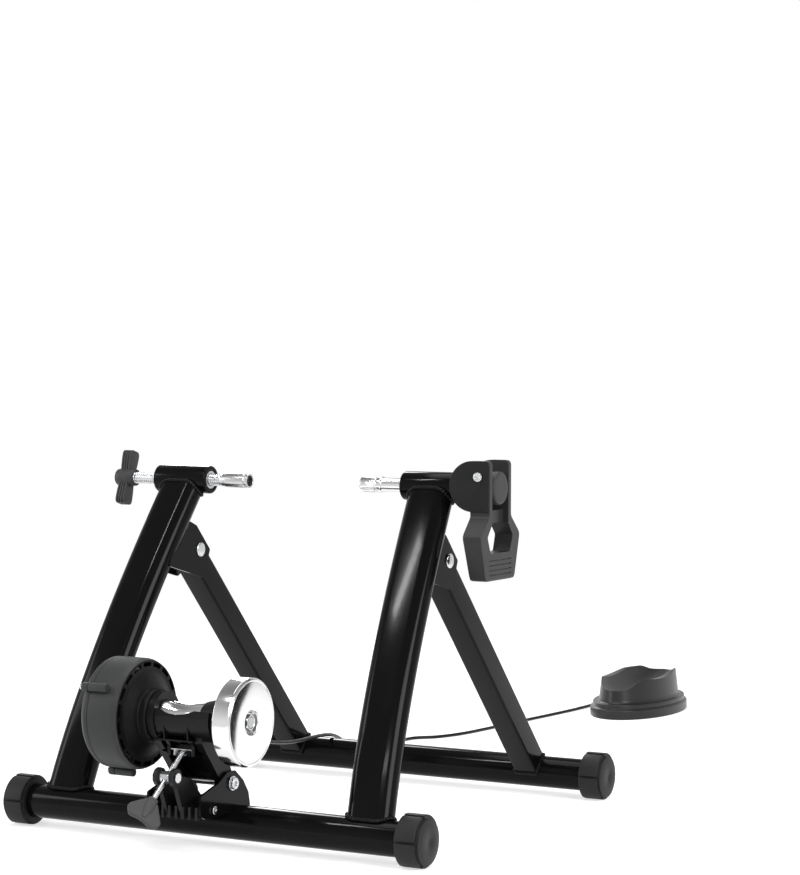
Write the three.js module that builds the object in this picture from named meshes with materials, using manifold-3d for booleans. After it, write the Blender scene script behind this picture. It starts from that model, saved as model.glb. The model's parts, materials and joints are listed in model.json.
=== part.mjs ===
// Wheel-on turbo trainer for a bicycle: a folding steel stand that clamps the rear axle, a magnetic
// resistance unit whose roller bears on the tyre, a cable remote and a riser block for the front wheel.
// Millimetres, +Z up. The rear of the stand faces -Y, X runs along the clamped axle, the floor is z = 0.
import * as THREE from 'three';
import { mergeVertices } from 'three/addons/utils/BufferGeometryUtils.js';
import Module from 'manifold-3d';

// Clearances and making
const clearance = 0.3; // between pieces that seat on each other
const runningClearance = 0.8; // round what turns or slides
const overrun = 4; // how far a cutter passes the face that it leaves
const mergeDistance = 1e-4;
const roundSegments = 22;
const smallSegments = 10;
const wheelSegments = 28;
const cornerSegments = 2;
const bendSegments = 4;
const padSegments = 3;
const hexSides = 6;
const fullTurn = 2 * Math.PI;

// Stand
const axleHeight = 388.5;
const rearTubeY = -199.5;
const frontTubeY = 268;
const baseTubeRadius = 19;
const baseTubeWall = 2;
const standHalfWidth = 268; // to the outer faces of the feet
const footRadius = 27.5;
const baseTubeZ = footRadius;

// Feet
const footLength = 29.5;
const footFaceWall = 5;
const footCoreRadius = 25;
const footPadCount = 5;
const footPadStep = 0.5; // each pad stands this much prouder than the last one
const footPadGroove = 2.4;
const footPadInset = 1.2;
const footRimGroove = 1.4;
const footDomeRise = 1.5;
const footFaceRadius = 24.5;
const footDomeShare = 0.6; // of the face's radius that stays flat
const footPadPhase = THREE.MathUtils.degToRad(-78);

// Uprights
const uprightWidth = 54;
const uprightDepth = 29;
const uprightWall = 2;
const uprightBaseInset = 72; // from the feet's outer faces
const uprightBaseX = standHalfWidth - uprightBaseInset;
const uprightTopX = 166.5;
const uprightBendShares = [0.6475, 0.7754, 0.3878]; // where it bends: out from the top, back and up
const uprightBendX = uprightTopX + (uprightBaseX - uprightTopX) * uprightBendShares[0];
const uprightBendY = rearTubeY * uprightBendShares[1];
const uprightBendZ = baseTubeZ + (axleHeight - baseTubeZ) * uprightBendShares[2];
const uprightSteps = 6;

// Axle head tubes
const headTubeRadius = 16.5;
const headTubeInnerX = 131;
const headTubeOuterX = 203;
const headTubeEdge = 2;

// Front legs and their fold pivot
const pivotDrop = 83.5; // below the clamped axle
const pivotZ = axleHeight - pivotDrop;
const legSide = 30;
const legCorner = 3;
const legWall = 2;
const legX = 166.75;
const legTopReach = 24; // above the pivot
const pivotPinRadius = 5;
const pivotHeadRadius = 8.5;
const pivotHeadThickness = 3;
const pivotHeadCrownShare = 0.72;
const bracketPlate = 2.4;
const bracketFoot = 12; // how deep the bracket's back reaches into the upright's width
const bracketTipReach = 31; // from the pivot down to the tongue's tip
const bracketTopReach = 26;
const shoePlate = 2.2;
const shoeArmRise = 15;

// Left clamp: knob, threaded spindle and cup
const leftBushRadius = 10.5;
const spindleRadius = 7.15;
const spindleTipRadius = 4;
const leftCupRadius = 8.75;
const leftCupInnerX = 77;
const leftCupOuterX = 113;
const cupRecessRadius = 6.4;
const cupRecessDepth = 12;
const cupSocketDepth = 12;
const knobCentreX = 251.5;
const knobHubRadius = 11;
const knobHubLength = 27;
const knobSpan = 66;
const knobWingWidth = 19;
const knobWingWaist = 13;
const knobWingThickness = 12;
const knobGroove = 1.1;
const knobGrooveCount = 3;
const knobGroovePitch = 3.3;
const knobFlareShare = 0.62; // of the half span, where the wings are widest
const knobTilt = THREE.MathUtils.degToRad(-16);

// Right clamp: spring plunger and cam lever
const plungerRadius = 8.25;
const plungerNeckRadius = 6;
const rightCupRadius = 9.75;
const rightCupInnerX = 75;
const rightCupOuterX = 103;
const rightCupCollar = 7;
const headTubeEndWall = 11;
const springCavityRadius = 12.5;
const plungerCollarX = 160;
const plungerCollarLength = 4;
const plungerEndX = 235;
const springTurns = 4;
const springWireRadius = 1.1;
const springStepsPerTurn = 8;
const springSides = 5;
const leverHousingRadius = 18.5;
const leverHousingEndX = 252;
const leverHousingWall = 5;
const leverPinX = 238;
const leverPinRise = 13.1;
const leverPinRadius = 3.5;
const leverPinHeadRadius = 5.2;
const leverPinHeadThickness = 2.6;
const leverHalfWidth = 27;
const leverCheek = 6.5;
const leverCheekRadius = 28.3;
const leverCheekX = 230;
const leverCheekRise = 2.5;
const leverCheekZ = axleHeight + leverCheekRise;
const leverCheekCorner = 6;
const leverFrontX = 251;
const leverNeckBackX = 224.5;
const leverShoulderBackX = 228.6;
const leverTipBackX = 231.4;
const leverFlareDrop = 34; // this and the next ones below the cheek's middle
const leverShoulderDrop = 54.4;
const leverShoulderZ = leverCheekZ - leverShoulderDrop;
const leverShoulderHalf = 49.8;
const leverTipDrop = 104.9;
const leverTipZ = leverCheekZ - leverTipDrop;
const leverTipHalf = 36;
const leverEdge = 7; // of the handle's corners, seen from the front
const leverBridgeDrop = 27;
const leverBridgeZ = leverCheekZ - leverBridgeDrop;
const leverBridgeRecess = 7;
const leverOpeningTopDrop = 41.2;
const leverOpeningTopZ = leverCheekZ - leverOpeningTopDrop;
const leverOpeningTopHalf = 19.8;
const leverOpeningMiddleDrop = 56;
const leverOpeningMiddleHalf = 31.8;
const leverOpeningBottomDrop = 74.3;
const leverOpeningBottomZ = leverCheekZ - leverOpeningBottomDrop;
const leverOpeningBottomHalf = 24;
const leverOpeningCorner = 3;
const leverGripGrooves = 4;
const leverGripPitch = 5.4;
const leverGripRise = 6; // from the tip to the lowest groove
const leverGripHalf = 28;
const leverGripDepth = 1.2;
const leverPlateThickness = 2.6;

// Resistance unit: axis, roller and flywheel
const shaftY = -248;
const shaftZ = 145.5;
const shaftRadius = 6;
const rollerLeftX = -27;
const rollerRightX = 25;
const rollerEndRadius = 17.5;
const rollerWaistRadius = 14.8;
const rollerSteps = 8;
const flywheelRadius = 47.5;
const flywheelInnerX = 59;
const flywheelOuterX = 80;
const flywheelEdge = 1.2;
const flywheelRecessRadius = 13;
const flywheelRecessDepth = 6;
const flywheelNutRadius = 9;
const flywheelNutThickness = 5;
const bearingRadius = 13;
const bearingWidth = 8;

// Drum that holds the magnets
const drumRadius = 60.5;
const drumWall = 2.5;
const drumInnerX = -53;
const drumSeamX = -90;
const drumOuterX = -101;
const drumSeam = 0.5;
const drumEdge = 5;
const drumBossRadius = 29;
const drumBossX = -37;
const drumConeX = -46;
const drumConeRadius = 47;
const drumVentCount = 18;
const drumVentRadius = 54;
const drumVentLength = 13;
const drumVentWidth = 4.6;
const drumLugRadius = 4.7;
const drumLugStandShare = 0.85; // of a lug's radius, from the drum's skin to the lug's middle
const drumLugReach = drumRadius + drumLugRadius * drumLugStandShare;
const drumLugInnerX = -67;
const drumLugAngles = [-94, 149, 30]; // degrees round the shaft, from +Y towards +Z
const drumScrewRadius = 1.8;
const drumScrewHeadRadius = 3.4;
const drumScrewHeadThickness = 2.2;
const rotorRadius = 50;
const rotorThickness = 5;
const rotorX = -74;
const rotorHubRadius = 14;
const rotorHubLength = 16;
const magnetRingRadius = 52;
const magnetRingBore = 22;
const magnetRingThickness = 6;
const magnetRingX = -91.5;
const magnetCount = 8;
const magnetRadius = 8;
const magnetThickness = 4;
const magnetPitchRadius = 39;
const guideCount = 3;
const guideRadius = 2.5;
const guidePitchRadius = 27;
const guideReach = 6.5; // past the carrier's face

// Yoke that carries the shaft
const yokeLeftX = -36;
const yokeLeftInnerX = -28;
const yokeRightInnerX = 26;
const yokeRightX = 44;
const yokeLeftRadius = 27;
const yokeRightRadius = 23;
const yokeNeckRadius = 19;
const yokeFlangeRadius = 28;
const yokeFlangeX = 47;
const yokeNeckX = 56;
const troughRadius = 25;
const troughWall = 3.2;
const troughFrom = THREE.MathUtils.degToRad(154);
const troughRimZ = 151; // where its rear rim dips lowest
const troughRimRise = 8;
const troughTo = THREE.MathUtils.degToRad(318);
const troughSteps = 9;
const yokeArmThickness = 9;
const yokeEyeRadius = 10.5;
const yokeRib = 3;
const yokeLugThickness = 4;

// Bracket on the rear tube, with the yoke's pivot
const yokePivotY = -210;
const yokePivotZ = 71.5;
const yokePivotRadius = 4;
const yokePivotHeadRadius = 6.5;
const yokePivotHeadThickness = 3.2;
const yokePivotWasherRadius = 8;
const yokePivotWasherThickness = 1.5;
const bracketRightX = 28.6;
const bracketLeftX = -37.6;
const sidePlate = 3;
const bracketRearY = -272.7;
const bracketFrontY = -172;
const bracketLowZ = 40;
const bracketTopZ = 84.5;
const bracketOutlineShares = [
  [0.01, 0.584], [0, 0.112], [0.106, 0], [1, 0], [0.96, 0.387], [0.851, 0.719], [0.692, 1], [0.533, 1], [
    0.358, 0.789,
  ],
]; // from the rear and from below
const saddleFrom = THREE.MathUtils.degToRad(48);
const saddleTo = THREE.MathUtils.degToRad(140);
const baseBoltY = -247;
const baseBoltZ = 48;
const baseBoltRadius = 3;
const baseBoltHeadRadius = 4.4;
const baseBoltHeadThickness = 2.4;
const baseFinCount = 8;
const baseFinThickness = 3;
const baseFloorZ = 40.5;
const baseRearReach = 27; // from the base bolt back to the fins' ends
const baseRearRise = 6;
const baseCoreReach = 12;
const earFootReach = 29;
const earFootRise = 8;
const earHeelReach = 22;
const earNeckReach = 10;
const earNeckDrop = 4; // below the barrel

// Adjuster: barrel in the base's ears, screw, wing and cross nut
const adjusterX = -3;
const barrelY = -284;
const barrelZ = 86;
const crossNutY = -252;
const crossNutZ = 110.5;
const adjusterRodRadius = 3.1;
const adjusterRodAbove = 5; // past the cross nut
const adjusterRodBelow = 55; // past the barrel
const adjusterNutClearance = 1;
const earRadius = 10;
const earThickness = 5;
const earGap = 15;
const barrelRadius = 6.5;
const barrelPinRadius = 2.6;
const barrelPinHeadRadius = 5.6;
const barrelPinHeadThickness = 1.6;
const crossNutLength = 26;
const crossNutRadius = 5.2;
const crossNutDepth = 7.8;
const trunnionRadius = 3;
const trunnionLength = 3.6;
const wingHubRadius = 7;
const wingTop = 36; // below the barrel
const wingSpan = 21.5;
const wingShoulder = 19;
const wingLength = 29;
const wingTipHalf = 14.5;
const wingThickness = 6;
const wingTurn = THREE.MathUtils.degToRad(48);

// Cable: leaves the drum, lies over the front tube, then runs along the floor to the remote
const cableRadius = 2.25;
const cableSides = 8;
const cableRunSteps = 60;
const bootLength = 16;
const bootRadius = 5;
const bootTipWall = 1.2;
const bootExitX = -80;
const bootExitZ = 121;
const coilMeanRadius = 26;
const coilLoops = 3;
const coilStepsPerLoop = 24;
const coilSides = 6;
const coilGap = 0.75;
const coilExitSteps = 4; // of a loop's steps, past the last full loop
const coilTailShares = [[-0.29, 1.28], [-0.195, 1.87]]; // of the mean radius, from the coil's middle
const coilCentre = [-66, 1116];

// Remote
const remotePlace = [-71, 1206];
const remoteBodyLength = 28;
const remoteBodyWidth = 32;
const remoteBodyDepth = 38;
const remoteCorner = 9;
const remoteKnobRadius = 15.5;
const remoteKnobScallop = 1.6;
const remoteKnobLobes = 10;
const stepsPerLobe = 4;
const remoteKnobLength = 19;
const remoteHandlebarRadius = 15.9;
const remoteClampWall = 4;
const remoteClampWidth = 18;
const remoteLugThickness = 5;
const remoteWebReach = 12; // from the clamp's middle to where the web starts
const remoteWebRise = 14;
const remoteLugReach = 9;
const remotePinRadius = 1.8;
const remoteScrewRadius = 2;
const remoteScrewHeadRadius = 4;
const remoteScrewHeadThickness = 3.2;
const remoteInletZ = 12;

// Riser block for the front wheel
const riserPlace = [0, 1005];
const riserHalfWidth = 63; // of its oval base, across the wheel
const riserHalfLength = 116.5;
const riserFlangeHeight = 14;
const riserStep = 4;
const riserStepHeight = 8;
const riserNeckInset = 13; // this and the next one from the base's edge
const riserTopInset = 18;
const riserTopZ = 60;
const riserWheelRadius = 336;
const riserWheelY = 985;
const riserCrownZ = 31.5; // the tyre's lowest place
const riserCradleDepth = 23.5;
const riserCradleShares = [
  [0.127, 0], [0.281, 0.111], [0.381, 0.34], [0.475, 0.677], [0.549, 0.957], [0.603, 0.979], [1.111, 1],
]; // of the half width from the middle, and of the cradle's depth up from the crown
const riserWall = 3;

// Colours, roughness and metalness
const blackPaint = { color: 0x0b0b0c, roughness: 0.28, metalness: 0.1 };
const blackPlastic = { color: 0x141415, roughness: 0.45, metalness: 0 };
const greyPlastic = { color: 0x2b2c2f, roughness: 0.6, metalness: 0 };
const rubber = { color: 0x161617, roughness: 0.75, metalness: 0 };
const zinc = { color: 0xb9bcc0, roughness: 0.3, metalness: 1 };
const chrome = { color: 0xe8eaec, roughness: 0.08, metalness: 1 };
const steel = { color: 0x9da1a5, roughness: 0.25, metalness: 1 };
const aluminium = { color: 0xa9adb2, roughness: 0.4, metalness: 1 };
const magnet = { color: 0x55575b, roughness: 0.5, metalness: 0.6 };
const cableJacket = { color: 0x0e0e0f, roughness: 0.5, metalness: 0 };

const wasm = await Module();
wasm.setup();

// Turns a closed geometry into a solid for joins and cuts.
function solid(geometry) {
  const bare = geometry.index ? geometry.toNonIndexed() : geometry.clone();
  bare.deleteAttribute('normal');
  bare.deleteAttribute('uv');
  const merged = mergeVertices(bare, mergeDistance);
  return new wasm.Manifold(new wasm.Mesh({
    numProp: 3,
    vertProperties: new Float32Array(merged.attributes.position.array),
    triVerts: new Uint32Array(merged.index.array),
  }));
}

// Turns a solid back into a geometry.
function geometryOf(body) {
  const mesh = body.getMesh();
  const geometry = new THREE.BufferGeometry();
  geometry.setAttribute('position', new THREE.BufferAttribute(mesh.vertProperties, 3));
  geometry.setIndex(new THREE.BufferAttribute(mesh.triVerts, 1));
  geometry.computeVertexNormals();
  return geometry;
}

function joined(...bodies) {
  return bodies.reduce((whole, body) => whole.add(body));
}

function cutFrom(body, ...cutters) {
  return cutters.reduce((rest, cutter) => rest.subtract(cutter), body);
}

// A block between two corners.
function block(x0, x1, y0, y1, z0, z1) {
  const geometry = new THREE.BoxGeometry(x1 - x0, y1 - y0, z1 - z0);
  geometry.translate((x0 + x1) / 2, (y0 + y1) / 2, (z0 + z1) / 2);
  return solid(geometry);
}

// A cylinder along X, Y or Z between two places on that axis; a and b place it on the other two.
function rodX(radius, x0, x1, y, z, segments = roundSegments) {
  const geometry = new THREE.CylinderGeometry(radius, radius, x1 - x0, segments);
  geometry.rotateZ(-Math.PI / 2);
  geometry.translate((x0 + x1) / 2, y, z);
  return solid(geometry);
}

function rodY(radius, y0, y1, x, z, segments = roundSegments) {
  const geometry = new THREE.CylinderGeometry(radius, radius, y1 - y0, segments);
  geometry.translate(x, (y0 + y1) / 2, z);
  return solid(geometry);
}

function rodZ(radius, z0, z1, x, y, segments = roundSegments) {
  const geometry = new THREE.CylinderGeometry(radius, radius, z1 - z0, segments);
  geometry.rotateX(Math.PI / 2);
  geometry.translate(x, y, (z0 + z1) / 2);
  return solid(geometry);
}

// A cutter for a round hole: its flats, not its corners, lie at the radius, so that a turning pin clears it.
function boreX(radius, x0, x1, y, z, segments = roundSegments) {
  return rodX(radius / Math.cos(Math.PI / segments), x0, x1, y, z, segments);
}

function boreY(radius, y0, y1, x, z, segments = roundSegments) {
  return rodY(radius / Math.cos(Math.PI / segments), y0, y1, x, z, segments);
}

function boreZ(radius, z0, z1, x, y, segments = roundSegments) {
  return rodZ(radius / Math.cos(Math.PI / segments), z0, z1, x, y, segments);
}

// A closed outline whose corners are rounded; a corner's own radius can follow its two places.
function outline(points, radius = 0) {
  const shape = new THREE.Shape();
  points.forEach((point, i) => {
    const corner = new THREE.Vector2(point[0], point[1]);
    const before = points[(i + points.length - 1) % points.length];
    const after = points[(i + 1) % points.length];
    const back = new THREE.Vector2(before[0], before[1]).sub(corner);
    const ahead = new THREE.Vector2(after[0], after[1]).sub(corner);
    const bend = point[2] ?? radius;
    const half = Math.abs(back.angleTo(ahead)) / 2;
    const room = Math.min(back.length(), ahead.length()) / 2;
    const cut = Math.min(bend / Math.tan(half), room);
    const start = corner.clone().addScaledVector(back.normalize(), cut);
    const end = corner.clone().addScaledVector(ahead.normalize(), cut);
    if (i === 0) shape.moveTo(start.x, start.y);
    else shape.lineTo(start.x, start.y);
    if (bend > 0) shape.quadraticCurveTo(corner.x, corner.y, end.x, end.y);
  });
  shape.closePath();
  return shape;
}

// A flat piece whose outline is given in (y, z), between two places on X.
function plateX(shape, x0, x1, segments = cornerSegments) {
  const geometry = new THREE.ExtrudeGeometry(
    shape, { depth: x1 - x0, bevelEnabled: false, curveSegments: segments },
  );
  geometry.applyMatrix4(new THREE.Matrix4().set(0, 0, 1, x0, 1, 0, 0, 0, 0, 1, 0, 0, 0, 0, 0, 1));
  return solid(geometry);
}

// A flat piece whose outline is given in (x, z), between two places on Y.
function plateY(shape, y0, y1, segments = cornerSegments) {
  const geometry = new THREE.ExtrudeGeometry(
    shape, { depth: y1 - y0, bevelEnabled: false, curveSegments: segments },
  );
  geometry.rotateX(Math.PI / 2);
  geometry.translate(0, y1, 0);
  return solid(geometry);
}

// A flat piece whose outline is given in (x, y), between two places on Z.
function plateZ(shape, z0, z1, segments = cornerSegments) {
  const geometry = new THREE.ExtrudeGeometry(
    shape, { depth: z1 - z0, bevelEnabled: false, curveSegments: segments },
  );
  geometry.translate(0, 0, z0);
  return solid(geometry);
}

// A turned piece along X: the profile lists [x, radius] and closes on the axis or on itself.
function turnedX(profile, y = 0, z = 0, segments = roundSegments) {
  const points = profile.map(([x, radius]) => new THREE.Vector2(radius, x));
  const geometry = new THREE.LatheGeometry(points, segments);
  geometry.rotateZ(-Math.PI / 2);
  geometry.translate(0, y, z);
  const body = solid(geometry);
  return body.volume() > 0 ? body : solid(flipped(geometry));
}

// A turned piece along Z: the profile lists [z, radius].
function turnedZ(profile, x = 0, y = 0, segments = roundSegments) {
  const points = profile.map(([z, radius]) => new THREE.Vector2(radius, z));
  const geometry = new THREE.LatheGeometry(points, segments);
  geometry.rotateX(Math.PI / 2);
  geometry.translate(x, y, 0);
  const body = solid(geometry);
  return body.volume() > 0 ? body : solid(flipped(geometry));
}

// An oval piece along Z: the profile lists [z, inset from the oval's edge], the same all round.
function ovalZ(profile, halfX, halfY, x, y, segments = roundSegments) {
  const points = profile.map(([z, inset]) => new THREE.Vector2(halfY - inset, z));
  const geometry = new THREE.LatheGeometry(points, segments);
  geometry.rotateX(Math.PI / 2);
  const places = geometry.attributes.position;
  for (let i = 0; i < places.count; i += 1) {
    const reach = Math.hypot(places.getX(i), places.getY(i));
    if (reach > 0) places.setX(i, (places.getX(i) * (halfX - halfY + reach)) / reach);
  }
  geometry.translate(x, y, 0);
  const body = solid(geometry);
  return body.volume() > 0 ? body : solid(flipped(geometry));
}

// The same faces, pointing the other way.
function flipped(geometry) {
  const turned = geometry.index ? geometry.toNonIndexed() : geometry.clone();
  const places = turned.attributes.position;
  for (let i = 0; i < places.count; i += 3) {
    const x = places.getX(i + 1);
    const y = places.getY(i + 1);
    const z = places.getZ(i + 1);
    places.setXYZ(i + 1, places.getX(i + 2), places.getY(i + 2), places.getZ(i + 2));
    places.setXYZ(i + 2, x, y, z);
  }
  return turned;
}

// A section drawn along a curve.
function swept(shape, curve, steps, segments = cornerSegments) {
  const geometry = new THREE.ExtrudeGeometry(shape, {
    steps, extrudePath: curve, bevelEnabled: false, curveSegments: segments,
  });
  const body = solid(geometry);
  return body.volume() > 0 ? body : solid(flipped(geometry));
}

// A closed ring with square ends between two angles, round the X axis.
function arcRingX(inner, outer, from, to, x0, x1, y, z, steps) {
  const shape = new THREE.Shape();
  for (let i = 0; i <= steps; i += 1) {
    const angle = from + ((to - from) * i) / steps;
    const place = [y + outer * Math.cos(angle), z + outer * Math.sin(angle)];
    if (i === 0) shape.moveTo(...place);
    else shape.lineTo(...place);
  }
  for (let i = steps; i >= 0; i -= 1) {
    const angle = from + ((to - from) * i) / steps;
    shape.lineTo(y + inner * Math.cos(angle), z + inner * Math.sin(angle));
  }
  shape.closePath();
  return plateX(shape, x0, x1);
}

// The same solid, mirrored to the other side of the stand.
function mirrored(body) {
  return body.mirror([1, 0, 0]);
}

const trainer = new THREE.Group();

// Adds one piece to a group as a named mesh with its own material.
function add(group, name, body, look) {
  const mesh = new THREE.Mesh(geometryOf(body), new THREE.MeshStandardMaterial(look));
  mesh.name = name;
  group.add(mesh);
  return mesh;
}

// Base tubes and uprights
function baseTube(y, z) {
  const half = standHalfWidth - footFaceWall - clearance;
  const tube = rodX(baseTubeRadius, -half, half, y, z);
  const bore = rodX(baseTubeRadius - baseTubeWall, -half - overrun, half + overrun, y, z);
  return cutFrom(tube, bore);
}

function stadium(width, depth) {
  const shape = new THREE.Shape();
  const radius = depth / 2;
  const flat = width / 2 - radius;
  shape.absarc(flat, 0, radius, -Math.PI / 2, Math.PI / 2);
  shape.absarc(-flat, 0, radius, Math.PI / 2, (Math.PI * 3) / 2);
  shape.closePath();
  return shape;
}

const uprightPath = new THREE.QuadraticBezierCurve3(
  new THREE.Vector3(uprightBaseX, rearTubeY, baseTubeZ),
  new THREE.Vector3(uprightBendX, uprightBendY, uprightBendZ),
  new THREE.Vector3(uprightTopX, 0, axleHeight),
);

function upright() {
  const outer = swept(stadium(uprightWidth, uprightDepth), uprightPath, uprightSteps, bendSegments);
  const inner = swept(
    stadium(uprightWidth - 2 * uprightWall, uprightDepth - 2 * uprightWall),
    uprightPath, uprightSteps, bendSegments,
  );
  const reach = standHalfWidth;
  const tubeCut = boreX(baseTubeRadius + clearance, -reach, reach, rearTubeY, baseTubeZ);
  const headCut = boreX(headTubeRadius + clearance, -reach, reach, 0, axleHeight);
  return cutFrom(outer, inner, tubeCut, headCut);
}

// Feet: rubber caps with five pads that turn on the tube ends; seen along +X from the inner face
function foot() {
  const faceX = footLength - footDomeRise;
  const core = turnedX([
    [0, 0],
    [0, footCoreRadius],
    [faceX - footRimGroove, footCoreRadius],
    [faceX, footFaceRadius],
    [footLength, footFaceRadius * footDomeShare],
    [footLength, 0],
  ]);
  const share = fullTurn / footPadCount;
  const pads = [];
  for (let i = 0; i < footPadCount; i += 1) {
    const radius = footRadius + footPadStep * i;
    const half = share / 2 - footPadGroove / (2 * footRadius);
    const middle = footPadPhase - share * i;
    pads.push(arcRingX(
      footCoreRadius - 2 * footPadInset, radius, middle - half, middle + half,
      footPadInset, faceX - footRimGroove - footPadInset, 0, 0, padSegments,
    ));
  }
  const bore = boreX(baseTubeRadius + clearance, -overrun, footLength - footFaceWall, 0, 0);
  return cutFrom(joined(core, ...pads), bore);
}

// Adds a foot whose inner face lies at the given X, facing outward.
function addFoot(group, name, side, y, z) {
  const mesh = add(group, name, side > 0 ? foot() : mirrored(foot()), rubber);
  mesh.position.set(side * (standHalfWidth - footLength), y, z);
}

// Fold pivot: bracket on the upright, shoe on the leg, and the pin through both
const legTilt = Math.atan2(frontTubeY, pivotZ - baseTubeZ);
const legLength = Math.hypot(frontTubeY, pivotZ - baseTubeZ);
const shoeHalf = legSide / 2 + clearance + shoePlate;
const bracketInnerHalf = shoeHalf + clearance;
const bracketOuterHalf = bracketInnerHalf + bracketPlate;

// A place given along the leg (down) and across it (towards its upper face), as [y, z].
function alongLeg(down, across) {
  const y = down * Math.sin(legTilt) + across * Math.cos(legTilt);
  const z = pivotZ - down * Math.cos(legTilt) + across * Math.sin(legTilt);
  return [y, z];
}

// The upright's centre line at a height, as [x, y].
function uprightAt(height) {
  const rise = axleHeight - baseTubeZ;
  const a = rise - 2 * (uprightBendZ - baseTubeZ);
  const b = 2 * (uprightBendZ - baseTubeZ);
  const c = baseTubeZ - height;
  const t = Math.abs(a) < mergeDistance ? -c / b : (-b + Math.sqrt(b * b - 4 * a * c)) / (2 * a);
  const place = uprightPath.getPoint(t);
  return [place.x, place.y];
}

function pivotBracket() {
  const half = legSide / 2;
  const top = alongLeg(-bracketTopReach, half);
  const backTop = [uprightAt(top[1])[1], top[1] + bracketFoot];
  const lower = alongLeg(-legTopReach / 2, -half - shoePlate);
  const backLow = [uprightAt(lower[1] - bracketFoot)[1], lower[1] - bracketFoot];
  const tip = alongLeg(bracketTipReach, -half - shoePlate);
  const shoulder = alongLeg(bracketTipReach - shoeArmRise, half);
  const side = outline([backTop, backLow, tip, shoulder, top], bracketPlate);
  const cheek = plateX(side, legX + bracketInnerHalf, legX + bracketOuterHalf);
  const farCheek = plateX(side, legX - bracketOuterHalf, legX - bracketInnerHalf);
  const webInner = -half - shoePlate - runningClearance;
  const web = outline([
    alongLeg(-bracketTopReach, webInner), alongLeg(-half, webInner),
    alongLeg(-half, webInner - bracketPlate), alongLeg(-bracketTopReach, webInner - bracketPlate),
  ]);
  const back = plateX(web, legX - bracketOuterHalf, legX + bracketOuterHalf);
  const hole = boreX(pivotPinRadius + clearance, 0, standHalfWidth, 0, pivotZ, smallSegments);
  const grown = stadium(uprightWidth + 2 * clearance, uprightDepth + 2 * clearance);
  const room = swept(grown, uprightPath, uprightSteps, bendSegments);
  return cutFrom(joined(cheek, farCheek, back), room, hole);
}

function pivotPin() {
  const head = bracketOuterHalf + clearance;
  const tip = head + pivotHeadThickness;
  const shank = rodX(pivotPinRadius, legX - head, legX + head, 0, pivotZ, smallSegments);
  const heads = [-1, 1].map((side) => {
    const near = legX + side * head;
    const far = legX + side * tip;
    return turnedX([
      [near, 0], [near, pivotHeadRadius], [(near + far) / 2, pivotHeadRadius],
      [far, pivotHeadRadius * pivotHeadCrownShare], [far, 0],
    ], 0, pivotZ, smallSegments);
  });
  return joined(shank, ...heads);
}

function leg() {
  const half = legSide / 2;
  const square = (size) => outline(
    [[legX - size, -size], [legX + size, -size], [legX + size, size], [legX - size, size]], legCorner,
  );
  const bar = plateZ(square(half), -legLength, legTopReach);
  const hollow = plateZ(square(half - legWall), -legLength - overrun, legTopReach + overrun);
  const saddle = boreX(baseTubeRadius + clearance, 0, standHalfWidth, 0, -legLength);
  const hole = boreX(pivotPinRadius + clearance, 0, standHalfWidth, 0, 0, smallSegments);
  const below = block(0, standHalfWidth, -legSide, legSide, -legLength - legSide, -legLength);
  return cutFrom(bar, hollow, saddle, hole, below);
}

// The shoe wraps the leg's lower face and both sides, and ends in a pointed tongue at the corners.
function legShoe() {
  const half = legSide / 2 + clearance;
  const outer = half + shoePlate;
  const low = -half - shoePlate;
  const channel = plateZ(outline([
    [legX - outer, low], [legX + outer, low], [legX + outer, half], [legX + half, half],
    [legX + half, -half], [legX - half, -half], [legX - half, half], [legX - outer, half],
  ]), -bracketTipReach, legTopReach / 2);
  const notch = plateY(outline([
    [legX - outer, -bracketTipReach - overrun], [legX - outer, -bracketTipReach],
    [legX, shoeArmRise - bracketTipReach], [legX + outer, -bracketTipReach],
    [legX + outer, -bracketTipReach - overrun],
  ]), low - overrun, -half + clearance);
  const slope = [
    [low, -bracketTipReach], [half + overrun, shoeArmRise * 2 - bracketTipReach],
    [half + overrun, -bracketTipReach - overrun], [low, -bracketTipReach - overrun],
  ];
  const sides = plateX(outline(slope), legX - outer - overrun, legX + outer + overrun);
  const hole = boreX(pivotPinRadius + clearance, 0, standHalfWidth, 0, 0, smallSegments);
  return cutFrom(channel, notch, sides, hole);
}

// Left clamp
function headTube() {
  return turnedX([
    [headTubeInnerX, 0], [headTubeInnerX, headTubeRadius - headTubeEdge],
    [headTubeInnerX + headTubeEdge, headTubeRadius], [headTubeOuterX - headTubeEdge / 2, headTubeRadius],
    [headTubeOuterX, headTubeRadius - headTubeEdge / 2], [headTubeOuterX, 0],
  ], 0, axleHeight);
}

function leftHeadTube() {
  return cutFrom(
    mirrored(headTube()),
    boreX(leftBushRadius + clearance, -headTubeOuterX - overrun, -headTubeInnerX + overrun, 0, axleHeight),
  );
}

function leftThreadBush() {
  const from = -headTubeOuterX + clearance;
  const to = -headTubeInnerX - clearance;
  return cutFrom(
    rodX(leftBushRadius, from, to, 0, axleHeight),
    boreX(spindleRadius + clearance, from - overrun, to + overrun, 0, axleHeight, smallSegments),
  );
}

function leftSpindle() {
  const shoulder = -leftCupOuterX - clearance;
  return joined(
    rodX(spindleRadius, -knobCentreX, shoulder, 0, axleHeight, smallSegments),
    rodX(spindleTipRadius, -knobCentreX, shoulder + cupSocketDepth - clearance, 0, axleHeight, smallSegments),
  );
}

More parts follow.
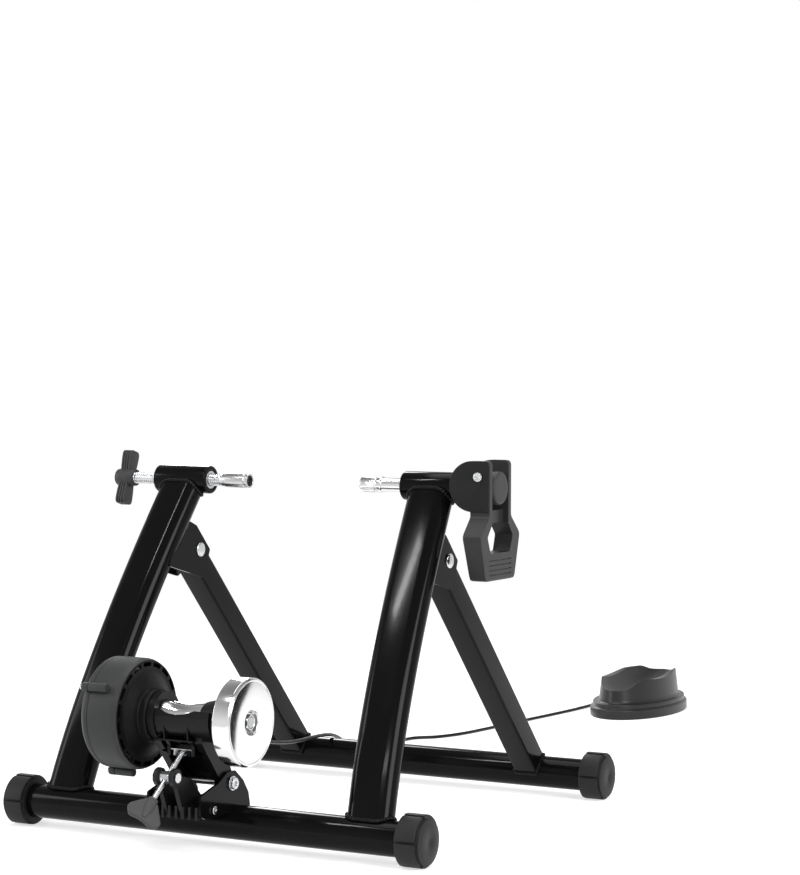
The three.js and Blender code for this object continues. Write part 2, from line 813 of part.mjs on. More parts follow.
function leftCup() {
  const body = turnedX([
    [-leftCupOuterX, 0], [-leftCupOuterX, leftCupRadius], [-leftCupInnerX - footPadInset, leftCupRadius],
    [-leftCupInnerX, leftCupRadius - footPadInset], [-leftCupInnerX, 0],
  ], 0, axleHeight, smallSegments);
  return cutFrom(
    body,
    rodX(
      cupRecessRadius, -leftCupInnerX - cupRecessDepth, -leftCupInnerX + overrun, 0, axleHeight,
      smallSegments,
    ),
    boreX(
      spindleTipRadius + clearance, -leftCupOuterX - overrun, -leftCupOuterX + cupSocketDepth, 0, axleHeight,
      smallSegments,
    ),
  );
}

function leftKnob() {
  const tip = knobSpan / 2;
  const waist = knobWingWaist / 2;
  const wide = knobWingWidth / 2;
  const wings = outline([
    [-waist, 0], [-wide, tip * knobFlareShare], [-wide, tip, knobWingWaist / 2], [
      wide, tip, knobWingWaist / 2,
    ],
    [wide, tip * knobFlareShare], [waist, 0], [wide, -tip * knobFlareShare], [wide, -tip, knobWingWaist / 2],
    [-wide, -tip, knobWingWaist / 2], [-wide, -tip * knobFlareShare],
  ], knobWingWaist);
  const half = knobWingThickness / 2;
  let body = joined(
    plateX(wings, -half, half),
    rodX(knobHubRadius, -knobHubLength / 2, knobHubLength / 2, 0, 0),
  );
  for (let i = 0; i < knobGrooveCount; i += 1) {
    const x = (i - (knobGrooveCount - 1) / 2) * knobGroovePitch;
    for (const side of [-1, 1]) {
      const edge = side * wide;
      const inner = edge - side * knobGroove;
      const outer = edge + side * overrun;
      for (const end of [-1, 1]) {
        const from = Math.min((end * tip) / 2, end * (tip + overrun));
        const to = Math.max((end * tip) / 2, end * (tip + overrun));
        const groove = block(
          x - knobGroove / 2, x + knobGroove / 2,
          Math.min(inner, outer), Math.max(inner, outer), from, to,
        );
        body = cutFrom(body, groove);
      }
    }
  }
  const bore = boreX(
    spindleRadius + clearance, clearance - knobHubLength, knobHubLength, 0, 0, smallSegments,
  );
  const blind = block(-knobHubLength, -clearance, -knobSpan, knobSpan, -knobSpan, knobSpan);
  return cutFrom(body, cutFrom(bore, blind));
}

// Right clamp
function rightHeadTube() {
  return cutFrom(
    headTube(),
    boreX(
      plungerRadius + clearance, headTubeInnerX - overrun, headTubeOuterX + overrun, 0, axleHeight,
      smallSegments,
    ),
    boreX(
      springCavityRadius, headTubeInnerX + headTubeEndWall, headTubeOuterX - headTubeEndWall, 0, axleHeight,
    ),
  );
}

function rightPlunger() {
  const wallEnd = headTubeInnerX + headTubeEndWall;
  const collarEnd = plungerCollarX + plungerCollarLength;
  const body = turnedX([
    [rightCupInnerX, 0],
    [rightCupInnerX, rightCupRadius - footPadInset],
    [rightCupInnerX + footPadInset, rightCupRadius],
    [rightCupOuterX - rightCupCollar, rightCupRadius],
    [rightCupOuterX - rightCupCollar, rightCupRadius - footPadInset / 2],
    [rightCupOuterX, rightCupRadius - footPadInset / 2],
    [rightCupOuterX, plungerRadius],
    [wallEnd, plungerRadius],
    [wallEnd, plungerNeckRadius],
    [plungerCollarX, plungerNeckRadius],
    [plungerCollarX, springCavityRadius - runningClearance],
    [collarEnd, springCavityRadius - runningClearance],
    [collarEnd, plungerRadius],
    [plungerEndX, plungerRadius],
    [plungerEndX, 0],
  ], 0, axleHeight, smallSegments);
  const recess = rodX(
    cupRecessRadius, rightCupInnerX - overrun, rightCupInnerX + cupRecessDepth, 0, axleHeight, smallSegments,
  );
  return cutFrom(body, recess);
}

// A coil spring round X as one unbroken wire, whose ends run straight into the loops.
function coilSpring(x0, x1, meanRadius, y, z) {
  const points = [];
  const count = springTurns * springStepsPerTurn;
  for (let i = 0; i <= count; i += 1) {
    const angle = (fullTurn * i) / springStepsPerTurn;
    const x = x0 + ((x1 - x0) * i) / count;
    points.push(new THREE.Vector3(x, y + meanRadius * Math.cos(angle), z + meanRadius * Math.sin(angle)));
  }
  const section = new THREE.Shape();
  for (let k = 0; k < springSides; k += 1) {
    const angle = (fullTurn * k) / springSides;
    const place = [springWireRadius * Math.cos(angle), springWireRadius * Math.sin(angle)];
    if (k === 0) section.moveTo(...place);
    else section.lineTo(...place);
  }
  section.closePath();
  const curve = new THREE.CatmullRomCurve3(points);
  console.log(
    `plunger spring, least gap to itself: ${leastGap(curve, springWireRadius, meanRadius).toFixed(2)} mm`,
  );
  return swept(section, curve, count);
}

function plungerSpring() {
  const from = headTubeInnerX + headTubeEndWall + clearance + springWireRadius;
  const to = plungerCollarX - clearance - springWireRadius;
  const mean = (springCavityRadius + plungerRadius) / 2 - clearance / 2;
  return coilSpring(from, to, mean, 0, axleHeight);
}

function leverHousing() {
  const from = headTubeOuterX + clearance;
  const body = turnedX([
    [from, 0], [from, headTubeRadius], [from + footPadInset, leverHousingRadius],
    [leverHousingEndX - footPadInset, leverHousingRadius],
    [leverHousingEndX, leverHousingRadius - footPadInset], [leverHousingEndX, 0],
  ], 0, axleHeight);
  return cutFrom(
    body,
    boreX(
      plungerRadius + clearance, from - overrun, leverHousingEndX - leverHousingWall, 0, axleHeight,
      smallSegments,
    ),
    boreY(
      leverPinRadius + clearance, -leverHalfWidth, leverHalfWidth, leverPinX, axleHeight + leverPinRise,
      smallSegments,
    ),
  );
}

// The cheek's D shape in (x, z): a half disc at the back and a square front whose upper corner is rounded.
function cheekShape() {
  const shape = new THREE.Shape();
  const top = leverCheekZ + leverCheekRadius;
  shape.moveTo(leverFrontX, leverCheekZ - leverCheekRadius);
  shape.lineTo(leverFrontX, top - leverCheekCorner);
  shape.quadraticCurveTo(leverFrontX, top, leverFrontX - leverCheekCorner, top);
  shape.lineTo(leverCheekX, top);
  shape.absarc(leverCheekX, leverCheekZ, leverCheekRadius, Math.PI / 2, Math.PI * 1.5);
  shape.closePath();
  return shape;
}

// The handle: its side outline in (x, z), where its front one in (y, z) lets it stand.
function leverHandle() {
  const side = outline([
    [leverNeckBackX, leverCheekZ], [leverShoulderBackX, leverShoulderZ],
    [leverTipBackX, leverTipZ, leverCheek / 4], [leverFrontX, leverTipZ, leverCheek / 4],
    [leverFrontX, leverCheekZ],
  ]);
  const flareZ = leverCheekZ - leverFlareDrop;
  const front = outline([
    [-leverHalfWidth, leverCheekZ, 0], [-leverHalfWidth, flareZ], [-leverShoulderHalf, leverShoulderZ],
    [-leverTipHalf, leverTipZ], [leverTipHalf, leverTipZ], [leverShoulderHalf, leverShoulderZ],
    [leverHalfWidth, flareZ], [leverHalfWidth, leverCheekZ, 0],
  ], leverEdge);
  return plateY(side, -leverShoulderHalf, leverShoulderHalf).intersect(
    plateX(front, leverCheekX - leverCheekRadius, leverFrontX + overrun),
  );
}

function clampLever() {
  const half = leverHalfWidth;
  const whole = joined(leverHandle(), plateY(cheekShape(), -half, half, smallSegments));
  const inner = half - leverCheek;
  const away = 2 * leverCheekRadius;
  const slot = block(
    leverCheekX - away, leverCheekX + away, -inner, inner, leverBridgeZ, leverCheekZ + away,
  );
  const recess = block(
    leverFrontX - leverBridgeRecess, leverFrontX + overrun, -inner, inner, leverOpeningTopZ, leverCheekZ,
  );
  const middleZ = leverCheekZ - leverOpeningMiddleDrop;
  const opening = plateX(outline([
    [-leverOpeningBottomHalf, leverOpeningBottomZ], [leverOpeningBottomHalf, leverOpeningBottomZ],
    [leverOpeningMiddleHalf, middleZ], [leverOpeningTopHalf, leverOpeningTopZ],
    [-leverOpeningTopHalf, leverOpeningTopZ], [-leverOpeningMiddleHalf, middleZ],
  ], leverOpeningCorner), leverCheekX - leverCheekRadius, leverFrontX + overrun);
  const pinHole = boreY(
    leverPinRadius + clearance, -half - overrun, half + overrun,
    leverPinX, axleHeight + leverPinRise, smallSegments,
  );
  const grooves = [];
  for (let i = 0; i < leverGripGrooves; i += 1) {
    const z = leverTipZ + leverGripRise + leverGripPitch * i;
    grooves.push(block(
      leverFrontX - leverGripDepth, leverFrontX + overrun, -leverGripHalf, leverGripHalf,
      z, z + leverGripDepth,
    ));
  }
  return cutFrom(whole, slot, recess, opening, pinHole, ...grooves);
}

function leverSidePlate() {
  const outer = -leverHalfWidth - clearance;
  const plate = plateY(cheekShape(), outer - leverPlateThickness, outer, smallSegments);
  return cutFrom(plate, boreY(
    leverPinRadius + clearance, outer - leverPlateThickness - overrun, outer + overrun,
    leverPinX, axleHeight + leverPinRise, smallSegments,
  ));
}

function leverPin() {
  const z = axleHeight + leverPinRise;
  const near = -leverHalfWidth - 2 * clearance - leverPlateThickness;
  const far = leverHalfWidth + clearance;
  return joined(
    rodY(leverPinRadius, near, far, leverPinX, z, smallSegments),
    rodY(leverPinHeadRadius, near - leverPinHeadThickness, near, leverPinX, z, smallSegments),
    rodY(leverPinHeadRadius, far, far + leverPinHeadThickness, leverPinX, z, smallSegments),
  );
}

// Resistance unit
function roller() {
  const length = rollerRightX - rollerLeftX;
  const profile = [[rollerLeftX, 0]];
  for (let i = 0; i <= rollerSteps; i += 1) {
    const along = i / rollerSteps;
    const waist = Math.sin(Math.PI * along);
    profile.push(
      [rollerLeftX + length * along, rollerEndRadius - (rollerEndRadius - rollerWaistRadius) * waist],
    );
  }
  profile.push([rollerRightX, 0]);
  const bore = boreX(
    shaftRadius + clearance, rollerLeftX - overrun, rollerRightX + overrun, shaftY, shaftZ, smallSegments,
  );
  return cutFrom(turnedX(profile, shaftY, shaftZ), bore);
}

function unitShaft() {
  return rodX(
    shaftRadius, rotorX - rotorHubLength / 2, flywheelOuterX - flywheelRecessDepth + flywheelNutThickness,
    shaftY, shaftZ, smallSegments,
  );
}

function bearing(x0) {
  return cutFrom(
    rodX(bearingRadius, x0, x0 + bearingWidth, shaftY, shaftZ),
    boreX(shaftRadius + clearance, x0 - overrun, x0 + bearingWidth + overrun, shaftY, shaftZ, smallSegments),
  );
}

function flywheel() {
  const body = turnedX([
    [flywheelInnerX, 0],
    [flywheelInnerX, flywheelRadius - flywheelEdge],
    [flywheelInnerX + flywheelEdge, flywheelRadius],
    [flywheelOuterX - flywheelEdge, flywheelRadius],
    [flywheelOuterX, flywheelRadius - flywheelEdge],
    [flywheelOuterX, flywheelRecessRadius],
    [flywheelOuterX - flywheelRecessDepth, flywheelRecessRadius],
    [flywheelOuterX - flywheelRecessDepth, 0],
  ], shaftY, shaftZ, wheelSegments);
  return cutFrom(body, boreX(
    shaftRadius + clearance, flywheelInnerX - overrun, flywheelOuterX + overrun,
    shaftY, shaftZ, smallSegments,
  ));
}

function flywheelNut() {
  const from = flywheelOuterX - flywheelRecessDepth + clearance;
  return cutFrom(
    rodX(flywheelNutRadius, from, from + flywheelNutThickness, shaftY, shaftZ, hexSides),
    boreX(
      shaftRadius + clearance, from - overrun, from + flywheelNutThickness + overrun, shaftY, shaftZ,
      smallSegments,
    ),
  );
}

// Drum
function lugPlace(index) {
  const angle = THREE.MathUtils.degToRad(drumLugAngles[index]);
  return [shaftY + drumLugReach * Math.cos(angle), shaftZ + drumLugReach * Math.sin(angle)];
}

function drumHousing() {
  const wallX = drumInnerX - drumWall;
  const body = turnedX([
    [drumSeamX, drumRadius],
    [drumInnerX - drumEdge, drumRadius],
    [drumInnerX, drumRadius - drumEdge / 2],
    [drumInnerX, drumConeRadius],
    [drumConeX, drumBossRadius],
    [drumBossX, drumBossRadius],
    [drumBossX, shaftRadius + runningClearance],
    [drumConeX - drumWall, shaftRadius + runningClearance],
    [drumConeX - drumWall, drumBossRadius - drumWall],
    [wallX, drumConeRadius],
    [wallX, drumRadius - drumEdge],
    [drumInnerX - drumEdge, drumRadius - drumWall],
    [drumSeamX, drumRadius - drumWall],
    [drumSeamX, drumRadius],
  ], shaftY, shaftZ, wheelSegments);
  const vents = [];
  for (let i = 0; i < drumVentCount; i += 1) {
    const angle = (fullTurn * (2 * i + 1)) / (2 * drumVentCount);
    const half = drumVentLength / (2 * drumVentRadius);
    vents.push(arcRingX(
      drumVentRadius - drumVentWidth / 2, drumVentRadius + drumVentWidth / 2, angle - half, angle + half,
      drumInnerX - drumEdge / 2 - drumWall, drumInnerX + overrun, shaftY, shaftZ, 1,
    ));
  }
  const lugs = drumLugAngles.map((_, i) => rodX(
    drumLugRadius, drumSeamX, drumLugInnerX, ...lugPlace(i), smallSegments,
  ));
  const holes = drumLugAngles.map((_, i) => boreX(
    drumScrewRadius + clearance, drumSeamX - overrun, drumLugInnerX - drumWall,
    ...lugPlace(i), smallSegments / 2,
  ));
  const mouth = boreY(
    bootRadius + clearance, shaftY + rotorRadius, shaftY + 2 * drumRadius, bootExitX, bootExitZ,
    smallSegments,
  );
  return cutFrom(joined(body, ...lugs), ...vents, ...holes, mouth);
}

// Where the posts stand that the magnet carrier slides on.
function guidePlaces() {
  const places = [];
  for (let i = 0; i < guideCount; i += 1) {
    const angle = (fullTurn * i) / guideCount + Math.PI / magnetCount;
    places.push([shaftY + guidePitchRadius * Math.cos(angle), shaftZ + guidePitchRadius * Math.sin(angle)]);
  }
  return places;
}

function drumCover() {
  const seamX = drumSeamX - drumSeam;
  const body = turnedX([
    [drumOuterX, 0],
    [drumOuterX, drumRadius - drumEdge],
    [drumOuterX + drumEdge, drumRadius],
    [seamX, drumRadius],
    [seamX, drumRadius - drumWall],
    [drumOuterX + drumEdge, drumRadius - drumWall],
    [drumOuterX + drumWall, drumRadius - drumEdge - drumWall],
    [drumOuterX + drumWall, 0],
  ], shaftY, shaftZ, wheelSegments);
  const lugs = drumLugAngles.map(
    (_, i) => rodX(drumLugRadius, drumOuterX + drumEdge / 2, seamX, ...lugPlace(i), smallSegments),
  );
  const holes = drumLugAngles.map((_, i) => boreX(
    drumScrewRadius + clearance, drumOuterX - overrun, seamX + overrun, ...lugPlace(i), smallSegments / 2,
  ));
  const posts = guidePlaces().map(([y, z]) => rodX(
    guideRadius, drumOuterX + drumWall / 2, magnetRingX + magnetRingThickness + guideReach, y, z, hexSides,
  ));
  return cutFrom(joined(body, ...lugs, ...posts), ...holes);
}

function drumScrew(index) {
  const headX = drumOuterX + drumEdge / 2 - clearance;
  return joined(
    rodX(drumScrewRadius, headX, drumLugInnerX - 2 * drumWall, ...lugPlace(index), smallSegments / 2),
    rodX(drumScrewHeadRadius, headX - drumScrewHeadThickness, headX, ...lugPlace(index), smallSegments / 2),
  );
}

function drumRotor() {
  const bore = boreX(
    shaftRadius + clearance, rotorX - rotorHubLength, rotorX + rotorHubLength, shaftY, shaftZ, smallSegments,
  );
  return cutFrom(joined(
    rodX(rotorRadius, rotorX - rotorThickness / 2, rotorX + rotorThickness / 2, shaftY, shaftZ),
    rodX(
      rotorHubRadius, rotorX - rotorHubLength / 2, rotorX + rotorHubLength / 2, shaftY, shaftZ, smallSegments,
    ),
  ), bore);
}

function magnetCarrier() {
  const ring = cutFrom(
    rodX(magnetRingRadius, magnetRingX, magnetRingX + magnetRingThickness, shaftY, shaftZ),
    rodX(magnetRingBore, magnetRingX - overrun, magnetRingX + magnetRingThickness + overrun, shaftY, shaftZ),
  );
  const magnets = [];
  for (let i = 0; i < magnetCount; i += 1) {
    const angle = (fullTurn * i) / magnetCount;
    magnets.push(rodX(
      magnetRadius,
      magnetRingX + magnetRingThickness / 2,
      magnetRingX + magnetRingThickness + magnetThickness,
      shaftY + magnetPitchRadius * Math.cos(angle),
      shaftZ + magnetPitchRadius * Math.sin(angle),
      smallSegments / 2,
    ));
  }
  const holes = guidePlaces().map(([y, z]) => boreX(
    guideRadius + clearance, magnetRingX - overrun, magnetRingX + 2 * magnetRingThickness, y, z, hexSides,
  ));
  return cutFrom(joined(ring, ...magnets), ...holes);
}

// Yoke: two cheeks, the trough under the roller, two arms down to the pivot and lugs for the cross nut
const adjusterRise = Math.atan2(crossNutZ - barrelZ, crossNutY - barrelY);

function armShape() {
  return outline([
    [shaftY - yokeNeckRadius, shaftZ],
    [shaftY - yokeNeckRadius + yokeRib, shaftZ - troughRadius],
    [yokePivotY - yokeEyeRadius, yokePivotZ - yokeRib],
    [yokePivotY + yokeEyeRadius, yokePivotZ - yokeRib],
    [yokePivotY + yokeEyeRadius, yokePivotZ + yokeRib],
    [shaftY + yokeNeckRadius, shaftZ - yokeNeckRadius],
    [shaftY + yokeNeckRadius, shaftZ],
  ], yokeRib);
}

function yokeArm(x0, x1) {
  return joined(
    plateX(armShape(), x0, x1),
    rodX(yokeEyeRadius, x0, x1, yokePivotY, yokePivotZ, smallSegments),
  );
}

function crossNutLug(x0) {
  const shape = outline([
    [crossNutY - trunnionRadius * 2, crossNutZ - trunnionRadius * 2],
    [crossNutY + trunnionRadius * 4, crossNutZ - trunnionRadius * 2],
    [shaftY + troughRadius, shaftZ - troughRadius],
    [shaftY, shaftZ - troughRadius + troughWall / 2],
    [shaftY - yokeNeckRadius, shaftZ - yokeNeckRadius],
    [crossNutY - trunnionRadius * 2, crossNutZ + trunnionRadius * 2],
  ], trunnionRadius / 2);
  return plateX(shape, x0, x0 + yokeLugThickness);
}

// The trough's rim dips between the cheeks in a wide arc, so that the tyre reaches the roller.
function rimCut() {
  const half = (yokeRightInnerX - yokeLeftInnerX) / 2;
  const radius = (half * half + troughRimRise * troughRimRise) / (2 * troughRimRise);
  const middle = (yokeRightInnerX + yokeLeftInnerX) / 2;
  const away = drumRadius;
  const dip = rodY(radius, shaftY - away, shaftY + away, middle, troughRimZ + radius, wheelSegments);
  const between = block(
    yokeLeftInnerX, yokeRightInnerX, shaftY - away, shaftY + away, troughRimZ - overrun, shaftZ + away,
  );
  return dip.intersect(between);
}

function yoke() {
  const left = rodX(yokeLeftRadius, yokeLeftX, yokeLeftInnerX, shaftY, shaftZ);
  const right = turnedX([
    [yokeRightInnerX, 0], [yokeRightInnerX, yokeNeckRadius], [yokeRightX, yokeRightRadius],
    [yokeFlangeX, yokeFlangeRadius], [yokeNeckX, yokeFlangeRadius], [yokeNeckX, 0],
  ], shaftY, shaftZ);
  const trough = arcRingX(
    troughRadius - troughWall, troughRadius, troughFrom, troughTo, yokeLeftX, yokeRightX - yokeRib,
    shaftY, shaftZ, troughSteps,
  );
  const leftEdge = bracketLeftX + sidePlate + runningClearance;
  const rightEdge = bracketRightX - runningClearance;
  const leftArm = yokeArm(leftEdge, leftEdge + yokeArmThickness);
  const rightArm = yokeArm(rightEdge - yokeArmThickness, rightEdge);
  const nutHalf = crossNutLength / 2 + clearance;
  const lugs = [
    crossNutLug(adjusterX - nutHalf - yokeLugThickness),
    crossNutLug(adjusterX + nutHalf),
  ];
  const ribZ = shaftZ - troughRadius - yokeRib;
  const bridge = block(
    yokeLeftX + yokeRib, rightEdge - yokeRib, shaftY - troughWall, shaftY + yokeNeckRadius - yokeRib,
    ribZ, ribZ + 2 * yokeRib,
  );
  const whole = joined(left, right, trough, leftArm, rightArm, ...lugs, bridge);
  const reach = drumRadius * 2;
  const cuts = [
    boreX(shaftRadius + runningClearance, -reach, reach, shaftY, shaftZ, smallSegments),
    boreX(rollerEndRadius + 2 * runningClearance, yokeLeftInnerX, yokeRightInnerX, shaftY, shaftZ),
    boreX(bearingRadius + clearance, yokeLeftX - overrun, yokeLeftX + bearingWidth, shaftY, shaftZ),
    boreX(bearingRadius + clearance, yokeNeckX - bearingWidth, yokeNeckX + overrun, shaftY, shaftZ),
    boreX(yokePivotRadius + clearance, -reach, reach, yokePivotY, yokePivotZ, smallSegments),
    boreX(
      trunnionRadius + clearance, adjusterX - crossNutLength, adjusterX + crossNutLength, crossNutY,
      crossNutZ, smallSegments,
    ),
    block(
      adjusterX - adjusterRodRadius - 2 * runningClearance,
      adjusterX + adjusterRodRadius + 2 * runningClearance,
      shaftY - troughRadius, shaftY + troughRadius, ribZ - overrun, shaftZ - troughRadius,
    ),
    rimCut(),
  ];
  return cutFrom(whole, ...cuts);
}

// Bracket, base and bolts
function sidePlateShape() {
  return outline(bracketOutlineShares.map(([along, up]) => [
    bracketRearY + (bracketFrontY - bracketRearY) * along, bracketLowZ + (bracketTopZ - bracketLowZ) * up,
  ]), sidePlate);
}

function unitBracket() {
  const right = plateX(sidePlateShape(), bracketRightX, bracketRightX + sidePlate);
  const left = plateX(sidePlateShape(), bracketLeftX, bracketLeftX + sidePlate);
  const saddle = arcRingX(
    baseTubeRadius + clearance, baseTubeRadius + clearance + sidePlate, saddleFrom, saddleTo,
    bracketLeftX, bracketRightX + sidePlate, rearTubeY, baseTubeZ, troughSteps,
  );
  const from = bracketLeftX - overrun;
  const to = bracketRightX + sidePlate + overrun;
  const tube = boreX(baseTubeRadius + clearance, from, to, rearTubeY, baseTubeZ);
  const pivot = boreX(yokePivotRadius + clearance, from, to, yokePivotY, yokePivotZ, smallSegments);
  const bolt = boreX(baseBoltRadius + clearance, from, to, baseBoltY, baseBoltZ, smallSegments);
  return cutFrom(joined(right, left, saddle), tube, pivot, bolt);
}

function finShape() {
  return outline([
    [barrelY + earRadius, barrelZ], [barrelY, barrelZ - earRadius], [
      baseBoltY - earFootReach, baseBoltZ + earFootRise,
    ],
    [baseBoltY - earHeelReach, baseFloorZ], [rearTubeY - baseTubeRadius, baseFloorZ],
    [rearTubeY - baseTubeRadius, yokePivotZ - yokeEyeRadius - 2 * runningClearance],
    [baseBoltY + earNeckReach, yokePivotZ - yokeEyeRadius], [baseBoltY - earNeckReach, barrelZ - earNeckDrop],
  ], baseFinThickness);
}

function unitBase() {
  const from = bracketLeftX + sidePlate + clearance;
  const to = bracketRightX - clearance;
  const pitch = (to - from - baseFinThickness) / (baseFinCount - 1);
  const fins = [];
  const ear = earGap / 2;
  const low = outline([
    [baseBoltY - baseRearReach, baseFloorZ], [rearTubeY - baseTubeRadius, baseFloorZ],
    [rearTubeY - baseTubeRadius, yokePivotZ - yokeEyeRadius - 2 * runningClearance - baseFinThickness],
    [baseBoltY, yokePivotZ - yokeEyeRadius - 2 * baseFinThickness],
    [baseBoltY - baseRearReach, baseBoltZ + baseRearRise],
  ]);
  for (let i = 0; i < baseFinCount; i += 1) {
    const x = from + pitch * i;
    fins.push(plateX(low, x, x + baseFinThickness));
  }
  const core = plateX(outline([
    [baseBoltY - baseCoreReach, baseFloorZ], [rearTubeY - baseTubeRadius, baseFloorZ],
    [rearTubeY - baseTubeRadius, yokePivotZ - yokeEyeRadius - 3 * baseFinThickness],
    [baseBoltY - baseCoreReach, baseBoltZ + baseRearRise],
  ]), from, to);
  const ears = [-1, 1].map((side) => {
    const x0 = adjusterX + side * (ear + earThickness / 2) - earThickness / 2;
    return joined(
      plateX(finShape(), x0, x0 + earThickness),
      rodX(earRadius, x0, x0 + earThickness, barrelY, barrelZ, smallSegments),
    );
  });
  const tube = boreX(
    baseTubeRadius + 2 * clearance + sidePlate, from - overrun, to + overrun, rearTubeY, baseTubeZ,
  );
  const bolt = boreX(
    baseBoltRadius + clearance, from - overrun, to + overrun, baseBoltY, baseBoltZ, smallSegments,
  );
  const pin = boreX(
    barrelPinRadius + clearance, from - overrun, to + overrun, barrelY, barrelZ, smallSegments,
  );
  return cutFrom(joined(core, ...fins, ...ears), tube, bolt, pin);
}

function yokePivotBolt() {
  const headX = bracketRightX + sidePlate + clearance;
  return joined(
    rodX(yokePivotRadius, bracketLeftX - overrun * 2, headX, yokePivotY, yokePivotZ, smallSegments),
    rodX(
      yokePivotWasherRadius, headX, headX + yokePivotWasherThickness, yokePivotY, yokePivotZ, smallSegments,
    ),
    rodX(
      yokePivotHeadRadius, headX, headX + yokePivotWasherThickness + yokePivotHeadThickness,
      yokePivotY, yokePivotZ, smallSegments,
    ),
  );
}

function yokePivotNut() {
  const face = bracketLeftX - clearance;
  return cutFrom(
    rodX(yokePivotHeadRadius, face - overrun, face, yokePivotY, yokePivotZ, hexSides),
    boreX(
      yokePivotRadius + clearance, face - 2 * overrun, face + overrun, yokePivotY, yokePivotZ, smallSegments,
    ),
  );
}

function baseBolt() {
  const headX = bracketRightX + sidePlate + clearance;
  const tailX = bracketLeftX - clearance;
  return joined(
    rodX(baseBoltRadius, tailX, headX, baseBoltY, baseBoltZ, smallSegments),
    rodX(baseBoltHeadRadius, headX, headX + baseBoltHeadThickness, baseBoltY, baseBoltZ, smallSegments),
    rodX(baseBoltHeadRadius, tailX - baseBoltHeadThickness, tailX, baseBoltY, baseBoltZ, smallSegments),
  );
}

// Adjuster pieces are built with the screw along Z and the barrel at the origin.
const adjusterLength = Math.hypot(crossNutZ - barrelZ, crossNutY - barrelY);

function adjusterScrew() {
  return rodZ(adjusterRodRadius, -adjusterRodBelow, adjusterLength + adjusterRodAbove, 0, 0, smallSegments);
}

function wingKnob() {
  const top = -wingTop;
  const bottom = top - wingLength;
  const wings = outline([
    [wingHubRadius, top], [wingSpan, top - wingShoulder], [wingTipHalf, bottom], [
      0, bottom + wingThickness / 2,
    ],
    [-wingTipHalf, bottom], [-wingSpan, top - wingShoulder], [-wingHubRadius, top],
  ], wingThickness / 2);
  return cutFrom(
    joined(
      plateY(wings, -wingThickness / 2, wingThickness / 2, cornerSegments * 2),
      rodZ(wingHubRadius, bottom + wingThickness, top + wingThickness / 2, 0, 0, smallSegments),
    ),
    boreZ(
      adjusterRodRadius + clearance, -adjusterRodBelow - clearance, top + 2 * wingThickness, 0, 0,
      smallSegments,
    ),
  );
}

function adjusterBarrel() {
  const half = earGap / 2 - clearance;
  const trunnion = earGap / 2 + earThickness;
  return cutFrom(
    joined(
      rodX(barrelRadius, -half, half, 0, 0, smallSegments),
      rodX(barrelPinRadius, -trunnion, 0, 0, 0, smallSegments),
    ),
    boreZ(adjusterRodRadius + clearance, -barrelRadius * 2, barrelRadius * 2, 0, 0, smallSegments),
    boreX(barrelPinRadius + clearance, 0, half + overrun, 0, 0, smallSegments),
  );
}

// The pin holds the barrel on the side away from its trunnion, and stops short of the screw.
function barrelPin() {
  const outer = earGap / 2 + earThickness + clearance;
  const inner = adjusterRodRadius + clearance * 2;
  return joined(
    rodX(barrelPinRadius, inner, outer, 0, 0, smallSegments),
    rodX(barrelPinHeadRadius, outer, outer + barrelPinHeadThickness, 0, 0, smallSegments),
  );
}

function crossNut() {
  const half = crossNutLength / 2;
  const reach = half + trunnionLength;
  const bore = boreZ(
    adjusterRodRadius + adjusterNutClearance, -crossNutRadius * 2, crossNutRadius * 2, 0, 0, smallSegments,
  );
  return cutFrom(joined(
    block(-half, half, -crossNutRadius, crossNutRadius, -crossNutDepth / 2, crossNutDepth / 2),
    rodX(trunnionRadius, -reach, reach, 0, 0, smallSegments),
  ), bore);
}

// Cable
function cableSection(sides) {
  const shape = new THREE.Shape();
  for (let k = 0; k < sides; k += 1) {
    const angle = (fullTurn * (k + 0.5)) / sides;
    const place = [cableRadius * Math.cos(angle), cableRadius * Math.sin(angle)];
    if (k === 0) shape.moveTo(...place);
    else shape.lineTo(...place);
  }
  shape.closePath();
  return shape;
}

const floorZ = cableRadius + clearance; // the cable's centre line where it lies on the floor
const bootStartY = shaftY + Math.sqrt(drumRadius ** 2 - (shaftZ - bootExitZ) ** 2) - drumWall;
const bootEndY = bootStartY + bootLength;

function cableBoot() {
  const cone = new THREE.CylinderGeometry(cableRadius + bootTipWall, bootRadius, bootLength, smallSegments);
  cone.translate(bootExitX, bootStartY + bootLength / 2, bootExitZ);
  return cutFrom(
    solid(cone),
    rodY(
      cableRadius / 2, bootEndY - bootLength / 2, bootEndY + overrun, bootExitX, bootExitZ, smallSegments / 2,
    ),
  );
}

// The cable's centre line between the boot and the coil: shares of half the stand's width, of the way to
// the coil's middle and of the boot's height above the floor.
const cableRouteShares = [
  [-0.313, -0.099, 0.909], [-0.343, 0, 0.694], [-0.388, 0.116, 0.496], [-0.448, 0.24, 0.415], [
    -0.507, 0.305, 0.223,
  ],
  [-0.575, 0.367, 0.046], [-0.616, 0.421, 0.021], [-0.619, 0.475, 0.021], [-0.601, 0.513, 0.021],
  [-0.517, 0.536, 0.021], [-0.455, 0.573, 0.021], [-0.412, 0.636, 0.021], [-0.375, 0.717, 0.021],
  [-0.332, 0.797, 0.021], [-0.305, 0.86, 0.021], [-0.3, 0.92, 0.021], [-0.3265, 0.965, 0.021],
];

